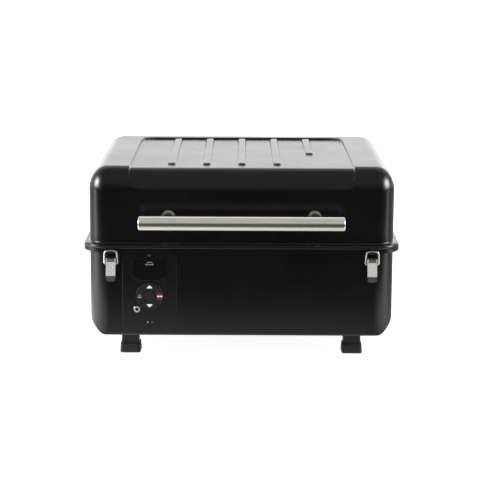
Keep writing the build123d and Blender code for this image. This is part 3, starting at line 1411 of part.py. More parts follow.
with BuildPart() as power_rocker:
    # seen from the side, a shallow V whose lower half stands out at rest
    with BuildSketch(side_back(POWER_X)):
        with BuildLine():
            half = SWITCH_OPENING[1] / 2 - 1.3
            mid = (BEZEL[2] - 0.3, SWITCH_Z)
            rise = half * tan(radians(ROCKER_TILT))
            Polyline(
                (mid[0] - rise * 0.1, SWITCH_Z + half), mid, (mid[0] + rise, SWITCH_Z - half),
                (ROCKER_PIVOT_OUT, SWITCH_Z - half), (ROCKER_PIVOT_OUT - 4, SWITCH_Z - 2),
                (ROCKER_PIVOT_OUT - 4, SWITCH_Z + 2), (ROCKER_PIVOT_OUT, SWITCH_Z + half), close=True,
            )
        make_face()
    extrude(amount=SWITCH_OPENING[0] / 2 - 0.4, both=True)
    with BuildSketch(across(POWER_X, BACK + ROCKER_PIVOT_OUT, SWITCH_Z)):
        Circle(1.0)
    extrude(amount=SWITCH_OPENING[0] / 2 + 1.0, both=True)
write(power_rocker.part, "power_rocker")
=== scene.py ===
"""Looks of the portable pellet smoker grill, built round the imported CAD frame. Metres, Z up."""

import json
import math

import bmesh
import bpy
from mathutils import Matrix, Vector


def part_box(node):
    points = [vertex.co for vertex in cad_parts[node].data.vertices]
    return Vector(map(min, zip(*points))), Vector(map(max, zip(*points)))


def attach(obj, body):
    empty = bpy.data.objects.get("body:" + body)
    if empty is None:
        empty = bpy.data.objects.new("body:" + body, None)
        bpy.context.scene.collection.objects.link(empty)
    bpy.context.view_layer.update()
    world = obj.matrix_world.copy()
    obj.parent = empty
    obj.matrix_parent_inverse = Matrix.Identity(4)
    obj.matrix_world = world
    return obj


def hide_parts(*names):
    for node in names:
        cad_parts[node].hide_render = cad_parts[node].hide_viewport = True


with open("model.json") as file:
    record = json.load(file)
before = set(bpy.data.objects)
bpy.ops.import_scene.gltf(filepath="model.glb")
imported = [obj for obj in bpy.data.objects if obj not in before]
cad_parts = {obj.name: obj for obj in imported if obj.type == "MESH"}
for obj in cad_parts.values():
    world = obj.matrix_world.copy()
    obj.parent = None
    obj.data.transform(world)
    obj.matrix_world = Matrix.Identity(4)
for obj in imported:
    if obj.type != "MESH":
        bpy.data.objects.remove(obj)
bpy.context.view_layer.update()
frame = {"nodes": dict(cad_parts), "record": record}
MM = 0.001


# ---------------------------------------------------------------- materials
class Nodes:
    """Adds and links the shader nodes of one material."""

    def __init__(self, name):
        self.material = bpy.data.materials.new(name)
        self.material.use_nodes = True
        self.tree = self.material.node_tree
        self.shader = self.tree.nodes["Principled BSDF"]

    def add(self, kind, **values):
        node = self.tree.nodes.new(kind)
        for key, value in values.items():
            if key in node.inputs:
                node.inputs[key].default_value = value
            else:
                setattr(node, key, value)
        return node

    def link(self, source, target):
        self.tree.links.new(source, target)

    def set(self, **values):
        """Sets the shader's own sockets; underscores stand for spaces."""
        for key, value in values.items():
            self.shader.inputs[key.replace("_", " ")].default_value = value

    def position(self, scale=(1, 1, 1)):
        """Object coordinates, stretched by scale."""
        coords = self.add("ShaderNodeTexCoord")
        mapping = self.add("ShaderNodeMapping")
        mapping.inputs["Scale"].default_value = scale
        self.link(coords.outputs["Object"], mapping.inputs["Vector"])
        return mapping.outputs["Vector"]

    def noise(self, scale, detail=3.0, stretch=(1, 1, 1)):
        node = self.add("ShaderNodeTexNoise", Scale=scale, Detail=detail, Roughness=0.55)
        self.link(self.position(stretch), node.inputs["Vector"])
        return node.outputs["Fac"]

    def remap(self, value, low, high, to_low, to_high, curve="LINEAR"):
        """Value carried from the range low..high to to_low..to_high, and held at its ends."""
        node = self.add("ShaderNodeMapRange", interpolation_type=curve)
        node.inputs["From Min"].default_value = low
        node.inputs["From Max"].default_value = high
        node.inputs["To Min"].default_value = to_low
        node.inputs["To Max"].default_value = to_high
        self.link(value, node.inputs["Value"])
        return node.outputs["Result"]

    def mix(self, factor, first, second):
        """Colour mix of two colours or colour outputs."""
        node = self.add("ShaderNodeMix", data_type="RGBA")
        self.link(factor, node.inputs["Factor"])
        for value, socket in ((first, node.inputs[6]), (second, node.inputs[7])):
            if isinstance(value, tuple):
                socket.default_value = (*value, 1.0)
            else:
                self.link(value, socket)
        return node.outputs[2]

    def math(self, operation, first, second):
        """Arithmetic on two values, each a number or an output."""
        node = self.add("ShaderNodeMath", operation=operation)
        for value, socket in ((first, node.inputs[0]), (second, node.inputs[1])):
            if isinstance(value, (int, float)):
                socket.default_value = value
            else:
                self.link(value, socket)
        return node.outputs["Value"]

    def hump(self, value, middle, reach):
        """1 where value is at the middle, falling smoothly to 0 a reach away on either side."""
        away = self.math("ABSOLUTE", self.math("SUBTRACT", value, middle), 0.0)
        return self.remap(away, 0.0, reach, 1.0, 0.0, "SMOOTHSTEP")

    def axis(self, letter):
        """One object coordinate."""
        split = self.add("ShaderNodeSeparateXYZ")
        self.link(self.position(), split.inputs["Vector"])
        return split.outputs[letter]

    def bump(self, height, strength, distance):
        node = self.add("ShaderNodeBump", Strength=strength, Distance=distance)
        self.link(height, node.inputs["Height"])
        return node.outputs["Normal"]

    def finish(self, colour, roughness, normal):
        self.link(colour, self.shader.inputs["Base Color"])
        self.link(roughness, self.shader.inputs["Roughness"])
        self.link(normal, self.shader.inputs["Normal"])
        return self.material


def painted(name, colour, rough=(0.17, 0.24), peel=0.00006, ior=1.36):
    """Baked paint: orange peel, faint dust and roughness patches."""
    n = Nodes(name)
    n.set(IOR=ior)
    peel_height = n.noise(420.0, 2.0)
    patches = n.noise(9.0, 4.0)
    specks = n.remap(n.noise(1500.0, 1.0), 0.62, 0.75, 0.0, 1.0)
    light = tuple(min(1.0, c * 1.9 + 0.002) for c in colour)
    tone = n.mix(n.remap(patches, 0.3, 0.75, 0.0, 0.35), colour, light)
    tone = n.mix(n.remap(specks, 0.0, 1.0, 0.0, 0.03), tone, (0.3, 0.3, 0.3))
    roughness = n.remap(patches, 0.25, 0.8, *rough)
    normal = n.bump(peel_height, 0.35, peel)
    return n.finish(tone, roughness, normal)


def metal(name, colour, rough=(0.22, 0.38), grain=(1, 1, 1), grain_scale=900.0, depth=0.00003, stain=0.12):
    """Bare or plated metal, with brushed grain stretched along one axis."""
    n = Nodes(name)
    n.set(Metallic=1.0)
    streaks = n.noise(grain_scale, 3.0, grain)
    patches = n.noise(22.0, 4.0)
    dark = tuple(c * 0.62 for c in colour)
    tone = n.mix(n.remap(streaks, 0.3, 0.7, 0.0, 0.3), colour, dark)
    tone = n.mix(n.remap(patches, 0.35, 0.8, 0.0, stain), tone, tuple(c * 0.45 for c in colour))
    roughness = n.remap(streaks, 0.25, 0.75, *rough)
    return n.finish(tone, roughness, n.bump(streaks, 0.3, depth))


def lever_plate(name, colour, shade_top_z):
    """Satin plate of the latch levers, with painted shade: the colour is darkened below a given height on
    the bent lower end, standing in for its shadow and dark reflection.
    """
    n = Nodes(name)
    n.set(Metallic=0.78)  # not a full mirror, so the plate stays bright where the room is dark
    streaks = n.noise(1400.0, 3.0, ALONG_Z)
    tone = n.mix(n.remap(streaks, 0.3, 0.7, 0.0, 0.3), colour, tuple(c * 0.62 for c in colour))
    # painted shade: the lower end's colour is darkened to near black, standing in for shadow and dark
    # reflection there
    thumb_shade = n.remap(n.axis("Z"), shade_top_z - 0.6 * MM, shade_top_z + 0.6 * MM, 0.92, 0.0)
    tone = n.mix(thumb_shade, tone, (0.03, 0.03, 0.03))
    return n.finish(tone, n.remap(streaks, 0.25, 0.75, 0.24, 0.36), n.bump(streaks, 0.3, 0.00002))


def ringed_socket(name, colour, node, radius):
    """Bright ring of a socket with a black core, within radius of the middle of its node."""
    low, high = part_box(node)
    n = Nodes(name)
    apart = n.add("ShaderNodeVectorMath", operation="DISTANCE")
    n.link(n.position((1, 0, 1)), apart.inputs[0])
    apart.inputs[1].default_value = ((low[0] + high[0]) / 2, 0, (low[2] + high[2]) / 2)
    plated = n.remap(apart.outputs["Value"], radius - 0.15 * MM, radius + 0.15 * MM, 0.0, 1.0)
    n.link(plated, n.shader.inputs["Metallic"])
    tone = n.mix(plated, (0.002, 0.002, 0.002), colour)
    scratches = n.noise(700.0, 3.0)
    return n.finish(tone, n.remap(scratches, 0.3, 0.7, 0.12, 0.25), n.bump(scratches, 0.2, 0.00001))


def moulded(name, colour, rough=(0.45, 0.6), grain=1300.0, depth=0.00005, ior=1.48):
    """Moulded plastic or rubber with a fine texture and scuffs."""
    n = Nodes(name)
    n.set(IOR=ior)
    pores = n.noise(grain, 2.0)
    scuffs = n.remap(n.noise(60.0, 5.0, (1, 1, 3)), 0.55, 0.75, 0.0, 0.3)
    tone = n.mix(scuffs, colour, tuple(min(1.0, c * 1.6 + 0.003) for c in colour))
    roughness = n.remap(n.noise(35.0, 3.0), 0.3, 0.7, *rough)
    return n.finish(tone, roughness, n.bump(pores, 0.4, depth))


def woven(name, colour):
    """Braided heat-proof seal."""
    n = Nodes(name)
    n.set(Sheen_Weight=0.3)
    braid = n.add("ShaderNodeTexWave", Scale=260.0, Distortion=1.5)
    braid.bands_direction = "DIAGONAL"
    n.link(n.position(), braid.inputs["Vector"])
    tone = n.mix(n.remap(braid.outputs["Fac"], 0.2, 0.9, 0.0, 0.7), colour, tuple(c * 0.35 for c in colour))
    roughness = n.remap(n.noise(90.0), 0.3, 0.7, 0.8, 0.95)
    return n.finish(tone, roughness, n.bump(braid.outputs["Fac"], 0.6, 0.0005))


def heat_tinted(name, colour):
    """Stainless steel that has been hot: straw and blue stains over soot."""
    n = Nodes(name)
    n.set(Metallic=1.0)
    tint = n.noise(14.0, 3.0)
    tone = n.mix(n.remap(tint, 0.35, 0.6, 0.0, 0.7), colour, (0.36, 0.24, 0.13))
    tone = n.mix(n.remap(tint, 0.55, 0.75, 0.0, 0.6), tone, (0.12, 0.13, 0.22))
    soot = n.remap(n.noise(40.0, 5.0), 0.5, 0.75, 0.0, 0.6)
    tone = n.mix(soot, tone, (0.03, 0.028, 0.026))
    return n.finish(tone, n.remap(tint, 0.3, 0.7, 0.3, 0.55), n.bump(n.noise(500.0), 0.3, 0.00006))


def enamel(name):
    """Porcelain enamel with speckle, as on a grate."""
    n = Nodes(name)
    n.set(Coat_Weight=0.5, Coat_Roughness=0.1)
    speckle = n.remap(n.noise(700.0, 1.0), 0.63, 0.7, 0.0, 0.5)
    tone = n.mix(speckle, (0.014, 0.014, 0.015), (0.2, 0.2, 0.2))
    return n.finish(tone, n.remap(n.noise(30.0), 0.3, 0.7, 0.22, 0.4), n.bump(n.noise(160.0), 0.3, 0.0002))


def circuit_board(name):
    """Green lacquered board with copper lines and solder pads."""
    n = Nodes(name)
    n.set(Coat_Weight=0.4, Coat_Roughness=0.1)
    lines = n.remap(n.noise(220.0, 0.0, (1, 1, 6)), 0.5, 0.53, 0.0, 0.5)
    tone = n.mix(lines, (0.012, 0.09, 0.035), (0.03, 0.2, 0.08))
    pads = n.remap(n.noise(420.0, 0.0), 0.68, 0.7, 0.0, 0.8)
    tone = n.mix(pads, tone, (0.5, 0.48, 0.44))
    return n.finish(tone, n.remap(lines, 0.0, 0.5, 0.35, 0.2), n.bump(lines, 0.4, 0.0001))


def printed(name, colour):
    """Ink print on a key or panel, slightly broken up by the texture under it."""
    n = Nodes(name)
    wear = n.remap(n.noise(900.0, 3.0), 0.6, 0.8, 0.0, 0.35)
    tone = n.mix(wear, colour, tuple(c * 0.5 for c in colour))
    return n.finish(tone, n.remap(n.noise(400.0), 0.3, 0.7, 0.4, 0.6), n.bump(n.noise(1200.0), 0.2, 0.00003))


BLACK = (0.001, 0.001, 0.00105)
ALONG_X = (0.02, 1, 1)  # stretch of a brushed grain that runs along X
ALONG_Z = (1, 1, 0.03)
LEVER_SHADE_TOP_Z = 149.3 * MM  # top of the painted shade on each latch lever's bent lower end
JACK_CORE_R = 2.7 * MM
materials = {
    "body_paint": painted("body_paint", BLACK),
    "lid_paint": painted("lid_paint", BLACK),
    "chassis_paint": painted("chassis_paint", (0.005, 0.005, 0.0053), (0.38, 0.5), 0.00008),
    "boot_rubber": moulded("boot_rubber", (0.0022, 0.0022, 0.0024), (0.6, 0.78), 900.0, 0.00012),
    "zinc_steel": metal("zinc_steel", (0.6, 0.61, 0.62), (0.28, 0.42)),
    "rivet_steel": metal("rivet_steel", (0.5, 0.5, 0.51), (0.28, 0.42)),
    "panel_plastic": moulded("panel_plastic", (0.002, 0.002, 0.0021), (0.22, 0.3), 1500.0, 0.00001, 1.39),
    "display_gloss": moulded("display_gloss", (0.001, 0.001, 0.0011), (0.06, 0.12), 200.0, 0.000003),
    "key_rubber": moulded("key_rubber", (0.0024, 0.0024, 0.0026), (0.4, 0.5), 1600.0, 0.00002, 1.43),
    "jack_chrome": ringed_socket("jack_chrome", (0.7, 0.7, 0.71), "probe_jack", JACK_CORE_R),
    "board": circuit_board("board"),
    "handle_steel": metal("handle_steel", (0.74, 0.73, 0.68), (0.1, 0.18), ALONG_X, 1500.0, 0.00001, 0.05),
    "post_paint": metal("post_paint", (0.6, 0.59, 0.56), (0.16, 0.26), (1, 0.05, 1), 1200.0),
    "gasket_rope": woven("gasket_rope", (0.05, 0.05, 0.05)),
    "hinge_steel": metal("hinge_steel", (0.36, 0.36, 0.37), (0.3, 0.45), ALONG_Z),
    "latch_steel": lever_plate("latch_steel", (0.95, 0.94, 0.91), LEVER_SHADE_TOP_Z),
    "bail_wire": metal("bail_wire", (0.52, 0.52, 0.51), (0.3, 0.4)),
    "latch_dark": metal("latch_dark", (0.2, 0.2, 0.2), (0.3, 0.45), ALONG_Z),
    "keeper_paint": painted("keeper_paint", (0.006, 0.006, 0.0065), (0.3, 0.42)),
    "pan_steel": metal("pan_steel", (0.5, 0.5, 0.49), (0.4, 0.58), (1, 1, 0.2), 300.0, 0.00004, 0.3),
    "pot_steel": heat_tinted("pot_steel", (0.4, 0.38, 0.35)),
    "grate_enamel": enamel("grate_enamel"),
    "galvanised": metal("galvanised", (0.52, 0.54, 0.55), (0.35, 0.55), (1, 1, 1), 90.0, 0.00003, 0.25),
    "guard_wire": metal("guard_wire", (0.5, 0.5, 0.5), (0.25, 0.4)),
    "knob_plastic": moulded("knob_plastic", (0.015, 0.015, 0.015)),
    "auger_steel": metal("auger_steel", (0.45, 0.43, 0.41), (0.35, 0.5), ALONG_X, 500.0, 0.00005, 0.4),
    "motor_metal": painted("motor_metal", (0.2, 0.2, 0.205), (0.4, 0.55)),
    "igniter_steel": heat_tinted("igniter_steel", (0.45, 0.43, 0.4)),
    "probe_steel": metal("probe_steel", (0.55, 0.55, 0.55), (0.25, 0.38), ALONG_X),
    "fan_plastic": moulded("fan_plastic", (0.02, 0.02, 0.02)),
    "inlet_plastic": moulded("inlet_plastic", (0.01, 0.01, 0.011), (0.3, 0.42)),
    "rocker_plastic": moulded("rocker_plastic", (0.012, 0.012, 0.013), (0.18, 0.3)),
    "contact_brass": metal("contact_brass", (0.75, 0.57, 0.25), (0.25, 0.38), ALONG_Z),
}
WHITE_INK = printed("white_ink", (0.75, 0.75, 0.74))
GREY_INK = printed("grey_ink", (0.2, 0.2, 0.2))
DIM_INK = printed("dim_ink", (0.06, 0.06, 0.06))
RED_INK = printed("red_ink", (0.085, 0.004, 0.022))


def give(piece, material):
    piece.data.materials.clear()
    piece.data.materials.append(material)


for part in frame["record"]["subparts"]:
    give(frame["nodes"][part["node"]], materials[part["material_slot"]])


# ---------------------------------------------------------------- lid skin
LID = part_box("lid_shell")
LID_MID_Y = (LID[0][1] + LID[1][1]) / 2
LID_TOP = LID[1][2]
RIM_OUT = 10 * MM  # how far the rim stands out from the walls
RIM_LOW = LID[0][2]
RIM_TOP = RIM_LOW + 6.5 * MM
RIM_LIP = 0.2 * MM  # clearance under the rim
RIM_ROLL_R = 3.5 * MM
RIM_FILLET_R = 3 * MM
WALL_X = LID[1][0] - RIM_OUT  # half width and half depth of the walls
WALL_Y = (LID[1][1] - LID[0][1]) / 2 - RIM_OUT
FRONT_Y = LID_MID_Y - WALL_Y
BACK_Y = LID_MID_Y + WALL_Y
SHEET = 1.4 * MM
CORNER_R = 36 * MM
CORE_X = WALL_X - CORNER_R  # half sizes of the straight stretches between the corners
CORE_Y = WALL_Y - CORNER_R
CORNER_STEPS = 12

EDGE_R = 30 * MM  # how far in from the walls the shoulder reaches on top
EDGE_DROP = 40 * MM  # how far down the walls it reaches
EDGE_MEAN = (EDGE_R + EDGE_DROP) / 2
EDGE_STEPS = 30
SHOULDER_Z = LID_TOP - EDGE_DROP
EDGE_ARC = EDGE_MEAN * math.pi / 2  # near enough the length of the shoulder's curve
TOP_RUN = BACK_Y - FRONT_Y - 2 * EDGE_R

RECESS_DEPTH = 3.3 * MM
RECESS_X = 190 * MM
RECESS_LOW_Z = 287 * MM
RECESS_BACK_Y = LID_MID_Y + 168 * MM
RECESS_LOW_R = 34 * MM
RECESS_BACK_R = 28 * MM
STEP_WIDTH = 2.6 * MM  # width of the step round the recess
RECESS_FADE = 32 * MM  # the recess runs out to nothing over this height at its lower edge

RIB_XS = [x * MM for x in (-120, -60, 0, 60, 120)]
RIB_STARTS = [s * MM for s in (62, 62, 62, 62, 186)]  # front wall to the rib's front end
RIB_HALF = 7.5 * MM
RIB_RISE = 2.8 * MM
RIB_FLANK = 2.9 * MM  # width of the slope at a rib's side
RIB_END = 18 * MM  # centre of a rib's rounded back end to the recess's back edge
RIB_NOSE = 0.7  # below 1 the rounded ends of a rib are drawn out lengthwise

EXHAUST_XS = [(k - 9.5) * 9.5 * MM for k in range(20)]  # slots in the back wall
EXHAUST_HALF = 1.8 * MM
EXHAUST_Z = (224 * MM, 240 * MM)


def smooth(value):
    """0 to 1 with level ends, held outside that range."""
    value = max(0.0, min(1.0, value))
    return value * value * (3 - 2 * value)


def unroll(y, z):
    """Distance along the lid's middle section: up the front, over the top and down the back."""
    if z <= SHOULDER_Z + 1e-9 and y < LID_MID_Y:
        return z
    if z <= SHOULDER_Z + 1e-9:
        return SHOULDER_Z + 2 * EDGE_ARC + TOP_RUN + (SHOULDER_Z - z)
    risen = (z - SHOULDER_Z) / EDGE_DROP
    if y < FRONT_Y + EDGE_R:
        return SHOULDER_Z + EDGE_MEAN * math.atan2(risen, (FRONT_Y + EDGE_R - y) / EDGE_R)
    if y > BACK_Y - EDGE_R:
        turned = math.atan2(risen, (y - (BACK_Y - EDGE_R)) / EDGE_R)
        return SHOULDER_Z + 2 * EDGE_ARC + TOP_RUN - EDGE_MEAN * turned
    return SHOULDER_Z + EDGE_ARC + y - (FRONT_Y + EDGE_R)


def section_normal(y, z):
    """Outward normal of the plain form's middle section."""
    if z <= SHOULDER_Z:
        return Vector((0, -1 if y < LID_MID_Y else 1, 0))
    risen = (z - SHOULDER_Z) / EDGE_DROP**2
    if y < FRONT_Y + EDGE_R:
        return Vector((0, (y - (FRONT_Y + EDGE_R)) / EDGE_R**2, risen)).normalized()
    if y > BACK_Y - EDGE_R:
        return Vector((0, (y - (BACK_Y - EDGE_R)) / EDGE_R**2, risen)).normalized()
    return Vector((0, 0, 1))


V_LOW = unroll(FRONT_Y, RECESS_LOW_Z)
V_BACK = unroll(RECESS_BACK_Y, LID_TOP)
RIB_FRONTS = [unroll(FRONT_Y + start, LID_TOP) for start in RIB_STARTS]


def recess_inside(x, v):
    """Distance inside the recess outline, negative outside, and the width of the step there."""
    mid = (V_LOW + V_BACK) / 2
    radius = RECESS_LOW_R if v < mid else RECESS_BACK_R
    qx = abs(x) - (RECESS_X - radius)
    qv = abs(v - mid) - ((V_BACK - V_LOW) / 2 - radius)
    outside = math.hypot(max(qx, 0.0), max(qv, 0.0))
    inside = radius - outside - min(max(qx, qv), 0.0)
    if v > mid or qv <= 0:
        return inside, STEP_WIDTH
    downward = (qv / outside) ** 5
    return inside, STEP_WIDTH + (RECESS_FADE - STEP_WIDTH) * downward


def rib_inside(x, v):
    """Distance inside the nearest rib outline, negative outside it."""
    best = -1.0
    for rib_x, start in zip(RIB_XS, RIB_FRONTS):
        nearest = max(start + RIB_HALF, min(V_BACK - RIB_END, v))
        best = max(best, RIB_HALF - math.hypot(x - rib_x, (v - nearest) * RIB_NOSE))
    return best


def press_depth(x, v):
    """How far the stamped sheet lies below the plain form."""
    inside, width = recess_inside(x, v)
    depth = RECESS_DEPTH * smooth((inside + 0.3 * MM) / width)
    rise = RIB_RISE * smooth((rib_inside(x, v) + 0.8 * MM) / RIB_FLANK)
    return max(0.0, depth - rise * smooth(inside / STEP_WIDTH))


def samples(low, high, coarse, fine, edges, reach):
    """Ordered values from low to high, closer together near each edge."""
    values = [low]
    while values[-1] < high - 1e-7:
        here = values[-1]
        near = min(abs(here + fine - edge) for edge in edges) < reach
        ahead = min([edge - reach - here for edge in edges if edge - reach > here + 1e-9] or [coarse])
        step = fine if near else min(coarse, max(fine, ahead))
        values.append(min(high, here + step))
    return values


def merged(values, extra):
    """Ordered values with the extra ones put in, and any plain one very close to those left out."""
    kept = [v for v in values if min(abs(v - e) for e in extra) > 0.3 * MM]
    return sorted(kept + list(extra))


def skin_xs():
    """Places across the lid where its mesh has a line, close together at ribs and recess sides."""
    edges = [-RECESS_X, RECESS_X] + [x + s * RIB_HALF for x in RIB_XS for s in (-1, 1)]
    xs = samples(-CORE_X, CORE_X, 8 * MM, 0.35 * MM, edges, 2.4 * MM)
    return merged(xs, [x + s * EXHAUST_HALF for x in EXHAUST_XS for s in (-1, 1)])


def skin_ys():
    """Places along the lid, close together at the recess's back edge and the ends of the ribs."""
    edges = [RECESS_BACK_Y, RECESS_BACK_Y - RIB_END + 5 * MM] + [FRONT_Y + s for s in set(RIB_STARTS)]
    return samples(LID_MID_Y - CORE_Y, LID_MID_Y + CORE_Y, 8 * MM, 0.7 * MM, edges, 10 * MM)


def rim_profile():
    """Rolled rim and its fillet into the wall, as (outward, height)."""
    points = [(RIM_OUT, RIM_LOW + RIM_LIP), (RIM_OUT, RIM_TOP - RIM_ROLL_R)]
    for k in range(1, 7):
        turn = math.radians(15 * k)
        inward = RIM_ROLL_R * (1 - math.cos(turn))
        points.append((RIM_OUT - inward, RIM_TOP - RIM_ROLL_R * (1 - math.sin(turn))))
    for k in range(0, 7):
        turn = math.radians(15 * k)
        points.append((RIM_FILLET_R * (1 - math.sin(turn)), RIM_TOP + RIM_FILLET_R * (1 - math.cos(turn))))
    return points


def skin_profile():
    """The whole wall from the rim to the flat top, as (outward, height)."""
    wall_edges = [RECESS_LOW_Z + 3 * MM, SHOULDER_Z - 1 * MM]
    wall_zs = samples(RIM_TOP + RIM_FILLET_R, SHOULDER_Z, 12 * MM, 1.0 * MM, wall_edges, 7 * MM)
    points = rim_profile() + [(0.0, z) for z in merged(wall_zs, EXHAUST_Z)[1:]]
    for k in range(1, EDGE_STEPS + 1):
        turn = math.pi / 2 * k / EDGE_STEPS
        points.append((-EDGE_R * (1 - math.cos(turn)), SHOULDER_Z + EDGE_DROP * math.sin(turn)))
    return points


def outline(outward, height, xs, ys):
    """One ring round the lid: front, right, back, left, with arcs between."""
    radius = CORNER_R + outward
    ring = []

    def arc(cx, cy, start):
        for k in range(1, CORNER_STEPS):
            turn = math.radians(start + 90 * k / CORNER_STEPS)
            ring.append((cx + radius * math.cos(turn), LID_MID_Y + cy + radius * math.sin(turn), height))

    ring += [(x, LID_MID_Y - CORE_Y - radius, height) for x in xs]
    arc(CORE_X, -CORE_Y, -90)
    ring += [(CORE_X + radius, y, height) for y in ys]
    arc(CORE_X, CORE_Y, 0)
    ring += [(x, LID_MID_Y + CORE_Y + radius, height) for x in reversed(xs)]
    arc(-CORE_X, CORE_Y, 90)
    ring += [(-CORE_X - radius, y, height) for y in reversed(ys)]
    arc(-CORE_X, -CORE_Y, 180)
    return ring


def in_exhaust_slot(corners):
    """Whether a face lies inside one of the exhaust slots of the back wall."""
    x, y, z = sum((corner.co for corner in corners), Vector()) / 4
    if y < BACK_Y - 0.1 * MM or not EXHAUST_Z[0] < z < EXHAUST_Z[1]:
        return False
    return min(abs(x - slot) for slot in EXHAUST_XS) < EXHAUST_HALF


def lid_walls(mesh, xs, ys):
    """Rim, walls and shoulder, ring by ring; gives the vertices of the last ring."""
    loops = [[mesh.verts.new(p) for p in outline(out, z, xs, ys)] for out, z in skin_profile()]
    for lower, upper in zip(loops, loops[1:]):
        count = len(lower)
        for i in range(count):
            corners = (lower[i], lower[(i + 1) % count], upper[(i + 1) % count], upper[i])
            if not in_exhaust_slot(corners):
                mesh.faces.new(corners)
    return loops[-1]


def lid_top(mesh, last, xs, ys):
    """Flat top: a grid, joined to the last ring of the walls along its sides and corners."""
    grid = [[mesh.verts.new((x, y, LID_TOP)) for x in xs] for y in ys]
    for row, above in zip(grid, grid[1:]):
        for i in range(len(xs) - 1):
            mesh.faces.new((row[i], row[i + 1], above[i + 1], above[i]))
    nx, ny, nc = len(xs), len(ys), CORNER_STEPS - 1
    sides = (
        (0, grid[0]),
        (nx + nc, [row[-1] for row in grid]),
        (nx + nc + ny + nc, grid[-1][::-1]),
        (2 * nx + 3 * nc + ny, [row[0] for row in reversed(grid)]),
    )
    total = len(last)
    for start, inner in sides:
        for i in range(len(inner) - 1):
            mesh.faces.new((last[start + i], last[start + i + 1], inner[i + 1], inner[i]))
        end = start + len(inner) - 1
        for k in range(CORNER_STEPS):
            mesh.faces.new((last[(end + k) % total], last[(end + k + 1) % total], inner[-1]))


def stamp(mesh):
    """Presses the recess and the ribs into the front, the front shoulder and the top."""
    for vertex in mesh.verts:
        x, y, z = vertex.co
        behind = y >= LID_MID_Y and z <= LID_TOP - 1 * MM
        if behind or abs(x) > CORE_X + 1e-6 or z < SHOULDER_Z - 30 * MM:
            continue
        depth = press_depth(x, unroll(y, z))
        if depth > 0:
            vertex.co -= section_normal(y, z) * depth


def new_piece(name, mesh, material):
    """Object made of a finished bmesh."""
    data = bpy.data.meshes.new(name)
    mesh.to_mesh(data)
    mesh.free()
    piece = bpy.data.objects.new(name, data)
    bpy.context.collection.objects.link(piece)
    give(piece, material)
    return piece


def lid_skin():
    """Stamped lid in place of the CAD node: rim, walls, rounded shoulder, recess and ribs."""
    mesh = bmesh.new()
    xs, ys = skin_xs(), skin_ys()
    last = lid_walls(mesh, xs, ys)
    lid_top(mesh, last, xs, ys)
    mesh.normal_update()
    stamp(mesh)
    skin = new_piece("lid_skin", mesh, materials["lid_paint"])
    skin.data.polygons.foreach_set("use_smooth", [True] * len(skin.data.polygons))
    sheet = skin.modifiers.new("sheet", "SOLIDIFY")
    sheet.thickness = SHEET
    sheet.offset = -1.0
    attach(skin, "lid")
    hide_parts("lid_shell")


lid_skin()


# ---------------------------------------------------------------- prints on the keys and the panel
INK = 0.12 * MM  # how far a print stands proud of its surface
KEY_SPREAD = 16.2 * MM  # prints from the middle of the keypad
ARROW = (9.2 * MM, 4.6 * MM)
DISPLAY_MARK_Z = 168 * MM
PANEL_TOP_MARK_Z = 182.3 * MM
PANEL_LOW_MARK_Z = 65.4 * MM


def flat_print(name, outlines, place, material, body):
    """Ink layer: closed outlines of (x, z) points about a place on the surface of a part."""
    x, y, z = place
    mesh = bmesh.new()
    for points in outlines:
        face = mesh.faces.new([mesh.verts.new((x + px, y - INK, z + pz)) for px, pz in points])
        sides = bmesh.ops.extrude_face_region(mesh, geom=[face])["geom"]
        moved = [item for item in sides if isinstance(item, bmesh.types.BMVert)]
        bmesh.ops.translate(mesh, verts=moved, vec=(0, INK * 1.5, 0))
    bmesh.ops.recalc_face_normals(mesh, faces=mesh.faces)
    layer = new_piece(name, mesh, material)
    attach(layer, body)


def disc(radius, cx=0.0, count=28):
    steps = [2 * math.pi * k / count for k in range(count)]
    return [(cx + radius * math.cos(t), radius * math.sin(t)) for t in steps]


def bar(width, height, cx=0.0, cz=0.0):
    w, h = width / 2, height / 2
    return [(cx - w, cz - h), (cx + w, cz - h), (cx + w, cz + h), (cx - w, cz + h)]


def arrow(width, height, up):
    """Triangle with blunted corners, pointing up or, with up as -1, down."""
    h = height / 2 * up
    w = width / 2
    cut = width * 0.09
    low = [(-w, -h + cut * up * 0.6), (-w + cut * 0.6, -h), (w - cut * 0.6, -h), (w, -h + cut * up * 0.6)]
    return low + [(cut, h), (-cut, h)]


def ring(inner, outer, start, turn):
    """Part of a ring, as a chain of flat segments."""
    count = round(turn / 15)
    steps = [math.radians(start + turn * k / count) for k in range(count + 1)]
    segments = []
    for a, b in zip(steps, steps[1:]):
        corners = ((inner, a), (outer, a), (outer, b), (inner, b))
        segments.append([(radius * math.cos(t), radius * math.sin(t)) for radius, t in corners])
    return segments


def bowl(width, drop):
    """Half ellipse with its flat side up."""
    steps = [math.pi * k / 14 for k in range(15)]
    return [(width / 2 * math.cos(t), -drop * math.sin(t)) for t in steps]


def front_middle(node):
    """Middle of a node's front face."""
    low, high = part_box(node)
    return Vector(((low[0] + high[0]) / 2, low[1], (low[2] + high[2]) / 2))


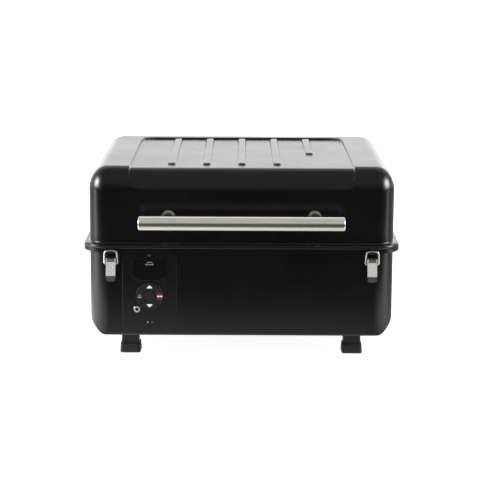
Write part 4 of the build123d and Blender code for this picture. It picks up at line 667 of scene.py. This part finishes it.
def key_prints():
    """Two arrows, a red disc with a plain bar and dots, and a bowl with two strokes."""
    middle = front_middle("key_centre")
    above = Vector((0, 0, KEY_SPREAD))
    right = middle + Vector((KEY_SPREAD + 1 * MM, 0, 0))
    left = middle - Vector((KEY_SPREAD + 0.6 * MM, 0, 0.6 * MM))
    bar_and_dots = [bar(4.2 * MM, 1.5 * MM), disc(1.5 * MM, -2.6 * MM), disc(1.5 * MM, 2.6 * MM)]
    steaming = [bowl(7 * MM, 2.6 * MM)] + [bar(1.2 * MM, 2.4 * MM, s * 1.3 * MM, 2.6 * MM) for s in (-1, 1)]
    layers = (
        ("up_arrow_print", [arrow(*ARROW, 1)], middle + above, WHITE_INK, "key_up_body"),
        ("down_arrow_print", [arrow(*ARROW, -1)], middle - above, WHITE_INK, "key_down_body"),
        ("right_disc_print", [disc(5.9 * MM)], right, RED_INK, "key_right_body"),
        ("right_bars_print", bar_and_dots, right - Vector((0, 0.1 * MM, 0)), WHITE_INK, "key_right_body"),
        ("left_mark_print", steaming, left, GREY_INK, "key_left_body"),
    )
    for name, outlines, place, ink, body in layers:
        flat_print(name, outlines, place, ink, body)


def panel_prints():
    """A row of bars under a line on the display, an open ring above it and two dots low down."""
    panel = front_middle("control_panel")
    glass = front_middle("display_window")
    bars = [bar(1.7 * MM, 2.2 * MM, dx * MM, -2.2 * MM) for dx in (-6, -3, 0, 3, 6)]
    bars.append(bar(9 * MM, 1.1 * MM, 0.5 * MM, 1.6 * MM))
    open_ring = ring(1.7 * MM, 2.7 * MM, 150, 240)
    dots = [disc(1.4 * MM, -3.4 * MM), disc(0.8 * MM, 3.8 * MM)]
    display_place = (panel.x, glass.y, DISPLAY_MARK_Z)
    flat_print("display_mark_print", bars, display_place, GREY_INK, "base")
    top_place = (panel.x, panel.y, PANEL_TOP_MARK_Z)
    flat_print("panel_top_print", open_ring, top_place, DIM_INK, "base")
    low_place = (panel.x, panel.y, PANEL_LOW_MARK_Z)
    flat_print("panel_low_print", dots, low_place, GREY_INK, "base")


key_prints()
panel_prints()


# ---------------------------------------------------------------- floor and light
BODY_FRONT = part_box("lower_shell")[0][1] + RIM_OUT
ROOM_X = 6.0  # half width of the room that only reflections see
ROOM_FRONT = -5.5
ROOM_BACK = 5.0
ROOM_TOP = 3.5
BACK_SPLIT = 1.3  # the back wall is dimmer in the middle, within this half width
BACK_END = 4.5

FLOOR_NEAR = 0.85  # brightness of the floor that the body's front reflects, close by and further off
FLOOR_FAR = 0.09
FLOOR_BEHIND = 0.6
LEFT_POOL = 3.1  # extra brightness of the floor under each side light
RIGHT_POOL = 2.0

LIGHT_X = 1.75  # side lights from the middle of the object
LIGHT_Y = (-1.1, 1.3)
LIGHT_Z = (0.3, 1.6)


def place_card(name, corners, material):
    """Flat card given by its corners."""
    mesh = bpy.data.meshes.new(name)
    mesh.from_pydata(corners, [], [tuple(range(len(corners)))])
    card = bpy.data.objects.new(name, mesh)
    bpy.context.collection.objects.link(card)
    give(card, material)
    return card


def glow_material(name, shade):
    """Card of one even brightness, lit by nothing else."""
    n = Nodes(name)
    n.set(Base_Color=(0, 0, 0, 1), Roughness=1.0, Specular_IOR_Level=0.0)
    n.set(Emission_Color=(1, 1, 1, 1), Emission_Strength=shade)
    return n


def reflected_card(name, corners, material):
    """Card that only reflections see."""
    card = place_card(name, corners, material)
    card.visible_camera = False
    card.visible_diffuse = False
    card.visible_shadow = False
    card.visible_transmission = False


def upright(start, end, low, high):
    """Corners of an upright card between two places on the floor plan."""
    return [(*start, low), (*end, low), (*end, high), (*start, high)]


def reflected_floor(front):
    """Floor as reflections see it: bright at the object's foot, dim further off, a pool each side."""
    n = glow_material("reflected_floor", 1.0)
    x, y = n.axis("X"), n.axis("Y")
    near = n.math("POWER", n.remap(y, front - 0.5, front - 0.2, 0.0, 1.0), 1.6)
    shade = n.remap(near, 0.0, 1.0, FLOOR_FAR, FLOOR_NEAR)
    shade = n.math("MULTIPLY", shade, n.remap(x, -0.35, 0.35, 1.35, 0.95))
    shade = n.math("ADD", shade, n.remap(y, front, front + 0.06, 0.0, FLOOR_BEHIND - FLOOR_NEAR))
    left = n.math("MULTIPLY", n.hump(y, -0.2, 0.5), n.remap(x, -0.45, -0.3, LEFT_POOL, 0.0))
    right = n.math("MULTIPLY", n.hump(y, -0.32, 0.38), n.remap(x, 0.3, 0.45, 0.0, RIGHT_POOL))
    shade = n.math("ADD", shade, n.math("ADD", left, right))
    n.link(shade, n.shader.inputs["Emission Strength"])
    height, nearest = 0.004, -7.0
    plan = ((-ROOM_X, nearest), (ROOM_X, nearest), (ROOM_X, ROOM_BACK), (-ROOM_X, ROOM_BACK))
    reflected_card("reflected_floor", [(*place, height) for place in plan], n.material)


def room_front():
    """Wall behind the viewer, dark at the bottom and lighter upward."""
    n = glow_material("room_front", 1.0)
    shade = n.remap(n.axis("Z"), 0.3, 2.9, 0.09, 0.6, "SMOOTHSTEP")
    n.link(shade, n.shader.inputs["Emission Strength"])
    corners = upright((-ROOM_X, ROOM_FRONT), (ROOM_X, ROOM_FRONT), 0.0, ROOM_TOP)
    reflected_card("room_front", corners, n.material)


def side_light(name, x, middle_y, reach, low, high):
    """Soft light on a stand beside the object, brightest a little forward of the object's front."""
    n = glow_material(name, 1.0)
    across = n.hump(n.axis("Y"), middle_y, reach)
    up = n.hump(n.axis("Z"), 0.72, 0.6)
    shade = n.remap(n.math("MULTIPLY", across, up), 0.0, 1.0, low, high)
    n.link(shade, n.shader.inputs["Emission Strength"])
    reflected_card(name, upright((x, LIGHT_Y[0]), (x, LIGHT_Y[1]), *LIGHT_Z), n.material)


def plain_walls():
    """The rest of the room: its right wall, its ceiling and its back wall in three stretches."""
    ceiling_plan = ((-ROOM_X, ROOM_FRONT), (-ROOM_X, 1.0), (ROOM_X, 1.0), (ROOM_X, ROOM_FRONT))
    ceiling = [(*place, ROOM_TOP) for place in ceiling_plan]
    walls = (
        ("room_right", 0.55, upright((ROOM_X, ROOM_FRONT), (ROOM_X, 3.0), 0.0, ROOM_TOP)),
        ("room_ceiling", 0.6, ceiling),
        ("room_back", 1.6, upright((-BACK_SPLIT, ROOM_BACK), (BACK_SPLIT, ROOM_BACK), 0.0, ROOM_TOP)),
        ("back_left", 2.7, upright((-BACK_END, ROOM_BACK), (-BACK_SPLIT, ROOM_BACK), 0.0, ROOM_TOP)),
        ("back_right", 2.7, upright((BACK_SPLIT, ROOM_BACK), (BACK_END, ROOM_BACK), 0.0, ROOM_TOP)),
    )
    for name, shade, corners in walls:
        reflected_card(name, corners, glow_material(name, shade).material)


def studio():
    """Pale floor, white surroundings, and the room, floor and side lights that reflections see."""
    floor = Nodes("studio_floor")
    floor.set(Base_Color=(0.9, 0.9, 0.9, 1), Roughness=0.9, Specular_IOR_Level=0.0)
    floor.set(Emission_Color=(1, 1, 1, 1), Emission_Strength=0.9)
    place_card("floor", [(-12, -12, 0), (12, -12, 0), (12, 12, 0), (-12, 12, 0)], floor.material)
    reflected_floor(BODY_FRONT)
    room_front()
    side_light("light_left", -LIGHT_X, -0.42, 0.65, 1.5, 42.0)
    side_light("light_right", LIGHT_X, -0.42, 0.75, 1.0, 34.0)
    plain_walls()
    world = bpy.data.worlds.new("studio")
    bpy.context.scene.world = world
    world.use_nodes = True
    background = world.node_tree.nodes["Background"]
    background.inputs["Color"].default_value = (1.0, 1.0, 1.0, 1.0)
    background.inputs["Strength"].default_value = 1.15


# ---------------------------------------------------------------- camera
CAMERA_BACK = 2.598  # camera distance from the body's front face
CAMERA_UP = 0.7312
CAMERA_SIDE = 0.0001
CAMERA_DOWN = math.radians(11.38)
CAMERA_TURN = math.radians(0.061)
CAMERA_ROLL = math.radians(0.234)
LENS = 118.07  # millimetres, on a sensor 36 wide


def camera():
    data = bpy.data.cameras.new("camera")
    data.lens = LENS
    data.sensor_width = 36.0
    data.clip_end = 100.0
    eye = bpy.data.objects.new("camera", data)
    turn = Matrix.Rotation(CAMERA_TURN, 4, "Z") @ Matrix.Rotation(math.pi / 2 - CAMERA_DOWN, 4, "X")
    place = Matrix.Translation((CAMERA_SIDE, BODY_FRONT - CAMERA_BACK, CAMERA_UP))
    eye.matrix_world = place @ turn @ Matrix.Rotation(CAMERA_ROLL, 4, "Z")
    bpy.context.collection.objects.link(eye)
    bpy.context.scene.camera = eye


studio()
camera()
bpy.context.scene.view_settings.view_transform = "Standard"
